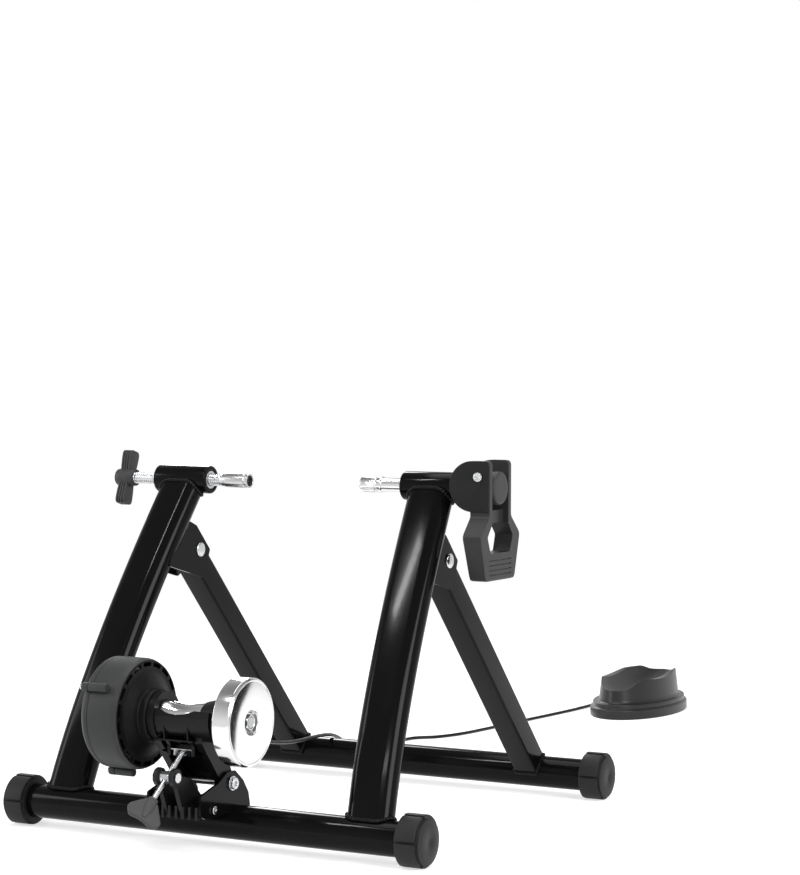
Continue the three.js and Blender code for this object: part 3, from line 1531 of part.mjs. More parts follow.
function cableRoute() {
  const floorShare = Math.min(...cableRouteShares.map((place) => place[2]));
  const between = cableRouteShares.map(([x, y, z]) => [
    x * standHalfWidth, y * coilCentre[1], z === floorShare ? floorZ : z * bootExitZ,
  ]);
  const left = coilCentre[0] - coilMeanRadius;
  return [
    [bootExitX, bootEndY + clearance, bootExitZ],
    [bootExitX, bootEndY + 3 * cableRadius, bootExitZ],
    ...between,
    [left, coilCentre[1] - 3 * cableRadius, floorZ],
    [left, coilCentre[1] - clearance / 2, floorZ],
  ];
}

function cableRun() {
  const curve = new THREE.CatmullRomCurve3(cableRoute().map((place) => new THREE.Vector3(...place)));
  return swept(cableSection(cableSides), curve, cableRunSteps);
}

// Loops that climb steadily on the floor, then the tail that rises to the remote's inlet.
function coilPath() {
  const points = [];
  const pitch = 2 * cableRadius + coilGap;
  const steps = coilLoops * coilStepsPerLoop + coilExitSteps;
  const start = new THREE.Vector3(coilCentre[0] - coilMeanRadius, coilCentre[1] + clearance / 2, floorZ);
  points.push(start);
  points.push(start.clone().add(new THREE.Vector3(0, 2 * cableRadius, 0)));
  for (let i = 1; i <= steps; i += 1) {
    const turn = (fullTurn * i) / coilStepsPerLoop;
    const angle = Math.PI - turn;
    const rise = (pitch * turn) / fullTurn;
    points.push(new THREE.Vector3(
      coilCentre[0] + coilMeanRadius * Math.cos(angle),
      coilCentre[1] + 2 * cableRadius + coilMeanRadius * Math.sin(angle),
      floorZ + rise,
    ));
  }
  const inletY = remotePlace[1] - remoteBodyDepth / 2 - clearance;
  coilTailShares.forEach(([x, y], i) => points.push(new THREE.Vector3(
    coilCentre[0] + coilMeanRadius * x, coilCentre[1] + coilMeanRadius * y,
    i === 0 ? floorZ + coilLoops * pitch + coilGap : remoteInletZ + cableRadius / 4,
  )));
  points.push(new THREE.Vector3(remotePlace[0], inletY - 3 * cableRadius, remoteInletZ));
  points.push(new THREE.Vector3(remotePlace[0], inletY, remoteInletZ));
  return points;
}

// The least gap between two stretches of a wound wire that lie at least half a turn apart along it.
function leastGap(curve, wireRadius, meanRadius) {
  const samples = 600;
  const points = curve.getSpacedPoints(samples);
  const apart = Math.ceil((Math.PI * meanRadius * samples) / curve.getLength());
  let least = Infinity;
  for (let i = 0; i <= samples; i += 1) {
    for (let j = i + apart; j <= samples; j += 1) least = Math.min(least, points[i].distanceTo(points[j]));
  }
  return least - 2 * wireRadius;
}

function cableCoil() {
  const points = coilPath();
  const curve = new THREE.CatmullRomCurve3(points);
  console.log(
    `cable coil, least gap to itself: ${leastGap(curve, cableRadius, coilMeanRadius).toFixed(2)} mm`,
  );
  return swept(cableSection(coilSides), curve, points.length + coilLoops);
}

// Remote: built round its middle, its knob towards +X, its clamp towards -X and its clamp's hinge up
const clampCentreX = -remoteBodyLength / 2 - remoteHandlebarRadius - remoteClampWall;
const clampRadius = remoteHandlebarRadius + remoteClampWall;

function remoteBody() {
  const half = remoteBodyLength / 2;
  const box = plateX(outline([
    [-remoteBodyWidth / 2, -remoteBodyDepth / 2], [remoteBodyWidth / 2, -remoteBodyDepth / 2],
    [remoteBodyWidth / 2, remoteBodyDepth / 2], [-remoteBodyWidth / 2, remoteBodyDepth / 2],
  ], remoteCorner), -half, half);
  const wide = remoteClampWidth / 2;
  const ring = rodY(clampRadius, -wide, wide, clampCentreX, 0);
  const web = block(
    clampCentreX + remoteWebReach, -half + overrun, -wide, wide, -remoteWebRise, remoteWebRise,
  );
  const lug = block(
    clampCentreX + clearance, clampCentreX + remoteLugThickness, -wide, wide,
    -clampRadius - remoteLugReach, -clampRadius + overrun,
  );
  const eye = rodY(remoteClampWall, -wide, wide, clampCentreX, clampRadius, smallSegments);
  const bore = boreY(remoteHandlebarRadius, -wide - overrun, wide + overrun, clampCentreX, 0);
  const away = block(
    clampCentreX - 2 * clampRadius, clampCentreX + clearance / 2, -wide - overrun, wide + overrun,
    -remoteBodyDepth, clampRadius - remoteClampWall - clearance,
  );
  const middle = block(
    clampCentreX - 2 * clampRadius, clampCentreX + remoteClampWall + runningClearance,
    -wide / 3 - clearance, wide / 3 + clearance,
    clampRadius - remoteClampWall - runningClearance, remoteBodyDepth * 2,
  );
  const farHalf = block(
    clampCentreX - 2 * clampRadius, clampCentreX - remoteClampWall - clearance,
    -wide - overrun, wide + overrun,
    -remoteBodyDepth, remoteBodyDepth * 2,
  );
  const pin = boreY(
    remotePinRadius + clearance, -wide - overrun, wide + overrun, clampCentreX, clampRadius, smallSegments,
  );
  const fork = block(
    clampCentreX - overrun, clampCentreX + remoteLugThickness + overrun, -remoteScrewRadius - clearance,
    remoteScrewRadius + clearance, -remoteBodyDepth, screwZ() + remoteScrewRadius + clearance,
  );
  return cutFrom(joined(box, ring, web, lug, eye), bore, away, middle, farHalf, pin, fork);
}

function remoteClamp() {
  const wide = remoteClampWidth / 2;
  const ring = cutFrom(
    rodY(clampRadius, -wide, wide, clampCentreX, 0),
    rodY(remoteHandlebarRadius, -wide - overrun, wide + overrun, clampCentreX, 0),
    block(
      clampCentreX - clearance / 2, clampCentreX + 2 * clampRadius, -wide - overrun, wide + overrun,
      -remoteBodyDepth, 2 * remoteBodyDepth,
    ),
    block(
      clampCentreX - remoteClampWall - 2 * clearance, clampCentreX + clampRadius,
      -wide - overrun, wide + overrun,
      clampRadius - remoteClampWall - 2 * clearance, 2 * remoteBodyDepth,
    ),
  );
  const eyeZ = clampRadius;
  const third = wide / 3;
  const eye = rodY(remoteClampWall, -third, third, clampCentreX, eyeZ, smallSegments);
  const link = block(
    clampCentreX - 2 * remoteClampWall, clampCentreX - remoteClampWall / 2, -third, third,
    eyeZ - remoteClampWall - runningClearance, eyeZ,
  );
  const pin = rodY(remotePinRadius, -wide, wide, clampCentreX, eyeZ, smallSegments);
  const lug = block(
    clampCentreX - remoteLugThickness, clampCentreX - clearance, -wide, wide,
    -clampRadius - remoteLugReach, -clampRadius + overrun,
  );
  const hole = boreX(
    remoteScrewRadius + clearance, clampCentreX - clampRadius, clampCentreX + clampRadius, 0, screwZ(),
    smallSegments / 2,
  );
  return cutFrom(joined(ring, eye, link, pin, lug), hole);
}

function screwZ() {
  return -clampRadius - remoteScrewHeadRadius;
}

function remoteScrew() {
  const headX = clampCentreX - remoteLugThickness - clearance;
  return joined(
    rodX(
      remoteScrewRadius, headX, clampCentreX + remoteLugThickness + remoteScrewRadius, 0, screwZ(),
      smallSegments / 2,
    ),
    rodX(remoteScrewHeadRadius, headX - remoteScrewHeadThickness, headX, 0, screwZ(), smallSegments / 2),
  );
}

function remoteKnob() {
  const shape = new THREE.Shape();
  const steps = remoteKnobLobes * stepsPerLobe;
  for (let i = 0; i < steps; i += 1) {
    const angle = (fullTurn * i) / steps;
    const radius = remoteKnobRadius - remoteKnobScallop * (1 - Math.cos(angle * remoteKnobLobes)) / 2;
    const place = [radius * Math.cos(angle), radius * Math.sin(angle)];
    if (i === 0) shape.moveTo(...place);
    else shape.lineTo(...place);
  }
  shape.closePath();
  const from = remoteBodyLength / 2 + clearance;
  return plateX(shape, from, from + remoteKnobLength);
}

// Riser block: an oval stepped foot and a tapered body with a cradle for the tyre
function riserBlock() {
  const body = ovalZ([
    [0, riserHalfLength],
    [0, riserStep / 2],
    [riserStep / 2, 0],
    [riserFlangeHeight, 0],
    [riserFlangeHeight + riserStep / 2, riserStep],
    [riserFlangeHeight + riserStepHeight, riserStep],
    [riserFlangeHeight + riserStepHeight, riserNeckInset],
    [riserTopZ, riserTopInset],
    [riserTopZ, riserHalfLength],
  ], riserHalfWidth, riserHalfLength, riserPlace[0], riserPlace[1]);
  const side = riserCradleShares.map(([along, up]) => [
    riserHalfWidth * along, riserWheelRadius - riserCradleDepth * up,
  ]);
  const outer = side[side.length - 1][0];
  const tyre = turnedX([
    [riserPlace[0] - outer, 0],
    ...side.toReversed().map(([x, radius]) => [riserPlace[0] - x, radius]),
    ...side.map(([x, radius]) => [riserPlace[0] + x, radius]),
    [riserPlace[0] + outer, 0],
  ], riserWheelY, riserCrownZ + riserWheelRadius, 2 * wheelSegments);
  const roof = riserCrownZ - 2 * riserWall;
  const hollow = ovalZ([
    [-overrun, riserHalfLength], [-overrun, riserNeckInset + riserWall], [roof, riserTopInset],
    [roof, riserHalfLength],
  ], riserHalfWidth, riserHalfLength, riserPlace[0], riserPlace[1]);
  return cutFrom(body, tyre, hollow);
}

// Rear frame and what stands still
const frame = new THREE.Group();
trainer.add(frame);
add(frame, 'rear_tube', baseTube(rearTubeY, baseTubeZ), blackPaint);
add(frame, 'left_upright', mirrored(upright()), blackPaint);
add(frame, 'right_upright', upright(), blackPaint);
add(frame, 'left_head_tube', leftHeadTube(), blackPaint);
add(frame, 'right_head_tube', rightHeadTube(), blackPaint);
add(frame, 'left_pivot_bracket', mirrored(pivotBracket()), blackPaint);
add(frame, 'right_pivot_bracket', pivotBracket(), blackPaint);
add(frame, 'left_pivot_pin', mirrored(pivotPin()), zinc);
add(frame, 'right_pivot_pin', pivotPin(), zinc);
addFoot(frame, 'rear_left_foot', -1, rearTubeY, baseTubeZ);
addFoot(frame, 'rear_right_foot', 1, rearTubeY, baseTubeZ);

// Front legs: a frame of its own that folds about the pivot pins
const legs = new THREE.Group();
legs.position.set(0, 0, pivotZ);
legs.rotation.x = legTilt;
trainer.add(legs);
add(legs, 'front_tube', baseTube(0, -legLength), blackPaint);
add(legs, 'left_leg', mirrored(leg()), blackPaint);
add(legs, 'right_leg', leg(), blackPaint);
add(legs, 'left_leg_shoe', mirrored(legShoe()), blackPaint);
add(legs, 'right_leg_shoe', legShoe(), blackPaint);
addFoot(trainer, 'front_left_foot', -1, frontTubeY, baseTubeZ);
addFoot(trainer, 'front_right_foot', 1, frontTubeY, baseTubeZ);

// Axle clamps
const clamps = new THREE.Group();
trainer.add(clamps);
add(clamps, 'left_thread_bush', leftThreadBush(), steel);
add(clamps, 'left_spindle', leftSpindle(), zinc);
add(clamps, 'left_cup', leftCup(), zinc);
const knobMesh = add(clamps, 'left_knob', leftKnob(), greyPlastic);
knobMesh.position.set(-knobCentreX, 0, axleHeight);
knobMesh.rotation.x = knobTilt;
add(clamps, 'right_plunger', rightPlunger(), chrome);
add(clamps, 'plunger_spring', plungerSpring(), steel);
add(clamps, 'lever_housing', leverHousing(), blackPlastic);
add(clamps, 'clamp_lever', clampLever(), greyPlastic);
add(clamps, 'lever_side_plate', leverSidePlate(), greyPlastic);
add(clamps, 'lever_pin', leverPin(), zinc);

// Resistance unit
const unit = new THREE.Group();
trainer.add(unit);
add(unit, 'unit_bracket', unitBracket(), blackPaint);
add(unit, 'unit_base', unitBase(), blackPlastic);
add(unit, 'yoke_pivot_bolt', yokePivotBolt(), zinc);
add(unit, 'yoke_pivot_nut', yokePivotNut(), zinc);
add(unit, 'base_bolt', baseBolt(), zinc);
add(unit, 'yoke', yoke(), blackPlastic);
add(unit, 'roller', roller(), chrome);
add(unit, 'unit_shaft', unitShaft(), steel);
add(unit, 'left_bearing', bearing(yokeLeftX), steel);
add(unit, 'right_bearing', bearing(yokeNeckX - bearingWidth + clearance), steel);
add(unit, 'flywheel', flywheel(), chrome);
add(unit, 'flywheel_nut', flywheelNut(), zinc);
add(unit, 'drum_housing', drumHousing(), greyPlastic);
add(unit, 'drum_cover', drumCover(), greyPlastic);
add(unit, 'drum_rotor', drumRotor(), aluminium);
add(unit, 'magnet_carrier', magnetCarrier(), magnet);
['bottom', 'rear', 'front'].forEach((place, i) => add(unit, `drum_screw_${place}`, drumScrew(i), zinc));

// Adjuster: its pieces share a group that leans with the screw
const adjuster = new THREE.Group();
adjuster.position.set(adjusterX, barrelY, barrelZ);
adjuster.rotation.x = adjusterRise - Math.PI / 2;
unit.add(adjuster);
add(adjuster, 'adjuster_screw', adjusterScrew(), zinc);
add(adjuster, 'wing_knob', wingKnob(), greyPlastic).rotation.z = wingTurn;
add(adjuster, 'adjuster_barrel', adjusterBarrel(), zinc);
add(adjuster, 'barrel_pin', barrelPin(), zinc);
add(adjuster, 'cross_nut', crossNut(), zinc).position.z = adjusterLength;

// Cable, remote and riser block
add(trainer, 'cable_boot', cableBoot(), rubber);
add(trainer, 'cable_run', cableRun(), cableJacket);
add(trainer, 'cable_coil', cableCoil(), cableJacket);
const remote = new THREE.Group();
remote.position.set(remotePlace[0], remotePlace[1], remoteBodyWidth / 2);
remote.rotation.x = Math.PI / 2;
trainer.add(remote);
add(remote, 'remote_body', remoteBody(), blackPlastic);
add(remote, 'remote_knob', remoteKnob(), greyPlastic);
add(remote, 'remote_clamp', remoteClamp(), blackPlastic);
add(remote, 'remote_screw', remoteScrew(), zinc);
add(trainer, 'riser_block', riserBlock(), greyPlastic);

// The origin is the middle of the base of everything but the cable.
const cable = ['cable_run', 'cable_coil'];
const bounds = new THREE.Box3();
trainer.updateMatrixWorld(true);
trainer.traverse((piece) => {
  if (piece.isMesh && !cable.includes(piece.name)) bounds.expandByObject(piece, true);
});
const middle = bounds.getCenter(new THREE.Vector3());
trainer.position.set(-middle.x, -middle.y, -bounds.min.z);

export default trainer;
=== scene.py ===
"""Looks of a wheel-on turbo trainer: folding stand, resistance unit, cable remote and riser block.

Sizes are millimetres in the stand's own drawing frame: X along the clamped axle, Y = 0 in the axle's
plane, Z up from the floor. Stand.metres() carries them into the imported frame.
"""

import json
import logging
import math
from dataclasses import dataclass, field
from enum import Enum

import bmesh
import bpy
import numpy as np
from mathutils import Matrix, Vector
from mathutils.geometry import tessellate_polygon

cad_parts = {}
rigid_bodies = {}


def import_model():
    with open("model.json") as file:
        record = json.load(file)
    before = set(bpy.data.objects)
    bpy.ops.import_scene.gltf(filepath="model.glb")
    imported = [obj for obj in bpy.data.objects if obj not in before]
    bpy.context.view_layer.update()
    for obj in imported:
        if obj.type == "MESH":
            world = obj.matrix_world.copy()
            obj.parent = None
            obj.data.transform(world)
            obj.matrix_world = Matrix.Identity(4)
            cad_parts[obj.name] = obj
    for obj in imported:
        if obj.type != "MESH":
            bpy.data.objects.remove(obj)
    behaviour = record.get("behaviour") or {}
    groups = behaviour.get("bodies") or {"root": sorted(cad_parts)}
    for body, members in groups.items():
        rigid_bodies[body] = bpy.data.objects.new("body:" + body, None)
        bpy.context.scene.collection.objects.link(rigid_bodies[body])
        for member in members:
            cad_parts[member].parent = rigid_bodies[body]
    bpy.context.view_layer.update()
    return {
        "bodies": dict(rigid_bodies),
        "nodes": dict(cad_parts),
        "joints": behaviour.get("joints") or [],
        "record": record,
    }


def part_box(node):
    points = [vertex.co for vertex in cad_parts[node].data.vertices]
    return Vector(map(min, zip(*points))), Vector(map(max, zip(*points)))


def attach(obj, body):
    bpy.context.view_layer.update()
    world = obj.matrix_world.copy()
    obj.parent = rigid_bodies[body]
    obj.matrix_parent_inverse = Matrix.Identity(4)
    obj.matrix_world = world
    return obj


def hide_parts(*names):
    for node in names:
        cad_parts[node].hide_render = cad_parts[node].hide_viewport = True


LOG = logging.getLogger("trainer")
Points = np.ndarray
Piece = bpy.types.Object
FULL = 2 * math.pi
MM = 0.001
MERGE = 2e-6  # metres
SOLID_MERGE = 2e-5  # metres, for the frame's solids
FLAT_DEGREES = 0.8  # faces that meet at less than this are one flat
TINY = 1e-9
SAME_PLACE = 1e-6  # outline points nearer than this are one
CORNER_SHARE = 0.48  # the most of a side that one rounded corner takes
MITRE_FLOOR = 0.3  # keeps the mitre of a sharp corner short
GROOVE_POWER = 0.8  # below 1, a thread's grooves are wider than its crests
FLUTE_RUN_OUT = 0.6  # length over which pressed grooves begin and end
TONE_LOW, TONE_HIGH = 0.3, 0.7  # the stretch of the slow noise that sways the roughness
SMOOTHEST = 0.02  # the lowest roughness
WORN_GAIN, WORN_LIFT = 1.6, 0.02  # how much lighter rubbed marks are


class Side(Enum):
    """The two sides of the stand, by the sign of X."""

    LEFT = -1
    RIGHT = 1


class Pattern(Enum):
    """How a surface was made, which sets its grain."""

    MOULDED = "moulded"
    PAINTED = "painted"
    TURNED = "turned"
    PLATED = "plated"
    RUBBER = "rubber"


# Shapes as arrays of points


def unit(vector: Points) -> Points:
    """Vectors along the last axis, divided by their lengths."""
    length = np.linalg.norm(vector, axis=-1, keepdims=True)
    return vector / np.maximum(length, TINY)


def rounded(points: list, radius: float | list, steps: int = 4, closed: bool = False) -> Points:
    """Rounds the corners of an outline or a profile.

    Each corner P gives way to the parabola (1-t)^2 A + 2t(1-t) P + t^2 B, where A and B lie on the two
    sides, a radius from P or at CORNER_SHARE of the shorter side.

    Args:
        points: the corners, each two numbers.
        radius: one cut for all corners, or one for each.
        steps: stretches in each corner's curve.
        closed: whether the last corner joins the first; if not, both ends stay as they are.

    Returns:
        The new points, as an array of pairs.
    """
    corner = np.asarray(points, dtype=float)
    cuts = np.broadcast_to(np.asarray(radius, dtype=float), (len(corner),))
    back = np.roll(corner, 1, axis=0) - corner
    ahead = np.roll(corner, -1, axis=0) - corner
    room = CORNER_SHARE * np.minimum(np.linalg.norm(back, axis=1), np.linalg.norm(ahead, axis=1))
    cut = np.minimum(cuts, room)[:, None]
    start = corner + unit(back) * cut
    end = corner + unit(ahead) * cut
    t = np.linspace(0, 1, steps + 1)[None, :, None]
    curve = (1 - t) ** 2 * start[:, None] + 2 * t * (1 - t) * corner[:, None] + t**2 * end[:, None]
    if not closed:
        curve[0] = corner[0]
        curve[-1] = corner[-1]
    flat = curve.reshape(-1, 2)
    step = np.linalg.norm(np.diff(flat, axis=0, prepend=flat[:1] - 1), axis=1)
    return flat[step > SAME_PLACE]


def bar(low: float, high: float, radius: float, corner: float = 0.0, bore: float = 0.0) -> Points:
    """The profile of a round bar, or of a bush round a bore, with rounded corners."""
    corners = [[low, bore], [low, radius], [high, radius], [high, bore]]
    return rounded(corners, corner, closed=bore > 0)


def ring(radius: float, steps: int, start: float = 0.0, end: float = FULL) -> Points:
    """Points on a circle, or on an arc of it when the angles don't close: (r cos a, r sin a)."""
    whole = math.isclose(end - start, FULL)
    angle = np.linspace(start, end, steps, endpoint=not whole)
    return np.stack([radius * np.cos(angle), radius * np.sin(angle)], axis=1)


def stadium(width: float, depth: float, steps: int = 16) -> Points:
    """An outline with two half circles of radius depth / 2 joined by flats."""
    radius = depth / 2
    flat = width / 2 - radius
    right = ring(radius, steps, -math.pi / 2, math.pi / 2) + [flat, 0]
    left = ring(radius, steps, math.pi / 2, 3 * math.pi / 2) - [flat, 0]
    return np.concatenate([right, left])


def grown(outline: Points, reach: float) -> Points:
    """A closed outline moved outward by reach: each point along its mitred normal.

    The outline runs anticlockwise; a negative reach shrinks it.
    """
    ahead = unit(np.roll(outline, -1, axis=0) - outline)
    normal = np.stack([ahead[:, 1], -ahead[:, 0]], axis=1)
    before = np.roll(normal, 1, axis=0)
    mitre = (normal + before) / np.maximum(1 + np.sum(normal * before, axis=1, keepdims=True), MITRE_FLOOR)
    return outline + reach * mitre


def anticlockwise(outline: Points) -> Points:
    """The same closed outline, turned round where its area is negative."""
    x, y = outline[:, 0], outline[:, 1]
    area = np.sum(x * np.roll(y, -1) - np.roll(x, -1) * y)
    return outline if area > 0 else outline[::-1]


@dataclass(frozen=True)
class Axis:
    """A place with a main direction and two directions square to it."""

    origin: tuple
    along: tuple = (1.0, 0.0, 0.0)
    across: tuple = (0.0, 1.0, 0.0)

    def grid(self, s: Points, a: Points, b: Points) -> Points:
        """Points at origin + s along + a across + b (along x across)."""
        main = np.asarray(self.along, dtype=float)
        side = np.asarray(self.across, dtype=float)
        third = np.cross(main, side)
        s, a, b = np.broadcast_arrays(s, a, b)
        return (
            np.asarray(self.origin, dtype=float)
            + s[..., None] * main
            + a[..., None] * side
            + b[..., None] * third
        )


def turned(profile: Points, axis: Axis, steps: int = 96, swell=None) -> Points:
    """A profile of (s, radius) carried round an axis.

    Args:
        profile: pairs of place along the axis and radius.
        axis: the axis to turn round.
        steps: places round the axis.
        swell: optional function of (s, angle, radius) that gives the radius at each point.

    Returns:
        A grid of points, profile by steps: origin + s along + r cos a across + r sin a third.
    """
    angle = np.linspace(0, FULL, steps, endpoint=False)[None, :]
    s = np.asarray(profile)[:, 0][:, None]
    radius = np.asarray(profile)[:, 1][:, None] + 0 * angle
    if swell is not None:
        radius = swell(s, angle, radius)
    return axis.grid(s, radius * np.cos(angle), radius * np.sin(angle))


def carried(
    section: Points, path: Points, side: tuple, closed: bool = False, scale=None,
) -> Points:
    """A section carried along a path.

    At each place the section's first coordinate runs along side made square to the path, and its
    second along tangent x side.

    Args:
        section: closed outline as pairs.
        path: points in space.
        side: direction, or one direction for each place, that the section's width follows.
        closed: whether the path returns to its start.
        scale: optional factor for each place of the path.

    Returns:
        A grid of points, path by section.
    """
    if closed:
        tangent = unit(np.roll(path, -1, axis=0) - np.roll(path, 1, axis=0))
    else:
        tangent = unit(np.gradient(path, axis=0))
    wide = np.asarray(side, dtype=float) + 0 * path
    wide = unit(wide - np.sum(wide * tangent, axis=1, keepdims=True) * tangent)
    deep = np.cross(tangent, wide)
    factor = np.ones(len(path)) if scale is None else scale
    first = (section[None, :, 0] * factor[:, None])[..., None] * wide[:, None]
    second = (section[None, :, 1] * factor[:, None])[..., None] * deep[:, None]
    return path[:, None] + first + second


def hexagon(flat: float):
    """A swell that makes a round profile six-sided: r = flat / cos(a - nearest 60 degrees)."""

    def swell(_s: Points, angle: Points, radius: Points) -> Points:
        """The hexagon's radius at each angle, or the profile's where that is less."""
        near = (angle + math.pi / 6) % (math.pi / 3) - math.pi / 6
        return np.minimum(radius, flat / np.cos(near))

    return swell


def thread(pitch: float, depth: float, start: float, end: float):
    """A swell that cuts a screw thread: depth times a rounded wave of s / pitch - angle / 360."""

    def swell(s: Points, angle: Points, radius: Points) -> Points:
        """The radius less the thread's depth at each point, fading out at both ends."""
        wave = 0.5 - 0.5 * np.cos(FULL * (s / pitch - angle / FULL))
        fade = np.clip((s - start) / pitch, 0, 1) * np.clip((end - s) / pitch, 0, 1)
        return radius - depth * fade * wave**GROOVE_POWER

    return swell


def flutes(count: int, depth: float, start: float, end: float):
    """A swell that presses lengthwise grooves: depth times (0.5 + 0.5 cos(count a)) squared."""

    def swell(s: Points, angle: Points, radius: Points) -> Points:
        """The radius less the groove's depth between two places on the axis."""
        inside = np.clip((s - start) / FLUTE_RUN_OUT, 0, 1) * np.clip((end - s) / FLUTE_RUN_OUT, 0, 1)
        return radius - depth * inside * (0.5 + 0.5 * np.cos(count * angle)) ** 2

    return swell


class Shape:
    """Collects grids and caps of points, in millimetres, and makes one object of them."""

    def __init__(self, stand: "Stand") -> None:
        """Starts an empty shape of the stand."""
        self.stand = stand
        self.points: list[Points] = []
        self.faces: list[list[int]] = []
        self.count = 0

    def grid(self, points: Points, wrap_u: bool = False, wrap_v: bool = True, keep=None) -> "Shape":
        """Adds a grid of four-sided faces.

        Args:
            points: grid of points, rows by columns.
            wrap_u: whether the last row joins the first.
            wrap_v: whether the last column joins the first.
            keep: optional mask, rows by columns, of the faces that stay.

        Returns:
            This shape.
        """
        rows, columns = points.shape[:2]
        i = np.arange(rows if wrap_u else rows - 1)[:, None]
        j = np.arange(columns if wrap_v else columns - 1)[None, :]
        i2, j2 = (i + 1) % rows, (j + 1) % columns
        quads = np.stack([i * columns + j, i * columns + j2, i2 * columns + j2, i2 * columns + j], axis=-1)
        if keep is not None:
            quads = quads[keep[: quads.shape[0], : quads.shape[1]]]
        self.faces += (quads.reshape(-1, 4) + self.count).tolist()
        self.points.append(points.reshape(-1, 3))
        self.count += rows * columns
        return self

    def cap(self, loops: list[Points]) -> "Shape":
        """Adds flat triangles inside the first loop and outside the others."""
        vectors = [[Vector(p) for p in loop] for loop in loops]
        triangles = tessellate_polygon(vectors)
        self.faces += [[k + self.count for k in triangle] for triangle in triangles]
        self.points += list(loops)
        self.count += sum(len(loop) for loop in loops)
        return self

    def lathe(
        self, profile: Points, axis: Axis, steps: int = 96, swell=None, closed: bool = False,
    ) -> "Shape":
        """Adds a turned surface; a closed profile has its bore in it, an open one ends on the axis."""
        return self.grid(turned(profile, axis, steps, swell), wrap_u=closed)

    def tube(self, outer: Points, inner: Points) -> "Shape":
        """Adds a hollow sweep: the outer grid, and the inner one run back, joined at both ends."""
        return self.grid(np.concatenate([outer, inner[::-1]]), wrap_u=True)

    def rod(self, section: Points, path: Points, side: tuple) -> "Shape":
        """Adds a solid sweep, whose ends close on the path."""
        sweep = carried(section, path, side)
        first = np.repeat(path[:1], len(section), axis=0)[None]
        last = np.repeat(path[-1:], len(section), axis=0)[None]
        return self.grid(np.concatenate([first, sweep, last]))

    def plate(
        self, outline: Points, low: float, high: float, rim: float, axis: Axis, holes=(), steps: int = 3,
    ) -> "Shape":
        """Adds a flat piece with rounded rims.

        The outline is drawn across the axis and carried from low to high. Towards each face it shrinks
        by rim (1 - sin a) while it nears the face by rim (1 - cos a), for a from 0 to 90 degrees.

        Args:
            outline: closed outline as pairs.
            low: place of the first face along the axis.
            high: place of the second face.
            rim: radius of the rounded rims.
            axis: the axis that the plate is square to.
            holes: closed outlines that are left open.
            steps: stretches in each rim.

        Returns:
            This shape.
        """
        bend = np.linspace(0, math.pi / 2, steps + 1)
        inset = rim * (1 - np.sin(bend))
        height = rim * (1 - np.cos(bend))
        places = np.concatenate([low + height, (high - height)[::-1]])
        insets = np.concatenate([inset, inset[::-1]])
        caps: list[list[Points]] = [[], []]
        for k, loop in enumerate([outline, *holes]):
            line = anticlockwise(np.asarray(loop))
            way = -1 if k == 0 else 1
            rows = np.stack([grown(line, way * reach) for reach in insets])
            grid = axis.grid(places[:, None], rows[..., 0], rows[..., 1])
            self.grid(grid)
            caps[0].append(grid[0])
            caps[1].append(grid[-1])
        self.cap(caps[0])
        return self.cap(caps[1])

    def mirrored(self, side: Side) -> "Shape":
        """Turns the shape over to the other side of the stand, where that is asked for."""
        if side is Side.LEFT:
            self.points = [p * [-1, 1, 1] for p in self.points]
        return self

    def mesh(self, name: str, fix: bool = True) -> bpy.types.Mesh:
        """The shape's cleaned mesh, in metres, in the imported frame."""
        mesh = bpy.data.meshes.new(name)
        mesh.from_pydata(self.stand.metres(np.concatenate(self.points)).tolist(), [], self.faces)
        clean(mesh, fix)
        return mesh

    def build(
        self, name: str, finish: "Finish", body: str, replaces=(), smooth: float = 32, fix: bool = True,
    ) -> Piece:
        """Makes the object, rides it on its body and dresses it.

        Args:
            name: the piece's name.
            finish: what it is made of.
            body: the body that it moves with.
            replaces: nodes that it stands for.
            smooth: edges sharper than this angle, in degrees, stay sharp.
            fix: whether the faces are turned outward, which a closed shape needs.

        Returns:
            The new object.
        """
        return self.stand.add(name, self.mesh(name, fix), finish, body, replaces, smooth)


def clean(mesh: bpy.types.Mesh, fix: bool = True) -> None:
    """Merges doubles, drops faces without area and turns all faces outward."""
    work = bmesh.new()
    work.from_mesh(mesh)
    bmesh.ops.remove_doubles(work, verts=work.verts[:], dist=MERGE)
    bmesh.ops.dissolve_degenerate(work, edges=work.edges[:], dist=MERGE / 2)
    if fix:
        bmesh.ops.recalc_face_normals(work, faces=work.faces[:])
    work.to_mesh(mesh)
    work.free()


def placed(name: str, data: bpy.types.ID) -> Piece:
    """A new object in the scene that shows a mesh, a lamp or a camera."""
    made = bpy.data.objects.new(name, data)
    bpy.context.scene.collection.objects.link(made)
    return made


def applied(piece: Piece) -> None:
    """Bakes a piece's modifiers into its mesh."""
    bpy.context.view_layer.update()
    graph = bpy.context.evaluated_depsgraph_get()
    mesh = bpy.data.meshes.new_from_object(piece.evaluated_get(graph), depsgraph=graph)
    piece.modifiers.clear()
    piece.data = mesh


def sharpened(piece: Piece, degrees: float) -> None:
    """Shades a piece smooth, with edges sharper than an angle left sharp."""
    piece.data.polygons.foreach_set("use_smooth", np.ones(len(piece.data.polygons), dtype=bool))
    piece.data.set_sharp_from_angle(angle=math.radians(degrees))


def softened(piece: Piece, width: float, degrees: float, segments: int) -> None:
    """Rounds a piece's sharp edges and evens its shading.

    Args:
        piece: the piece.
        width: width of the rounded edges.
        degrees: edges sharper than this angle are rounded.
        segments: stretches across each rounded edge.
    """
    bevel = piece.modifiers.new("edges", "BEVEL")
    bevel.width = width * MM
    bevel.segments = segments
    bevel.limit_method = "ANGLE"
    bevel.angle_limit = math.radians(degrees)
    bevel.use_clamp_overlap = True
    even = piece.modifiers.new("even", "WEIGHTED_NORMAL")
    even.keep_sharp = True
    applied(piece)


# Finishes


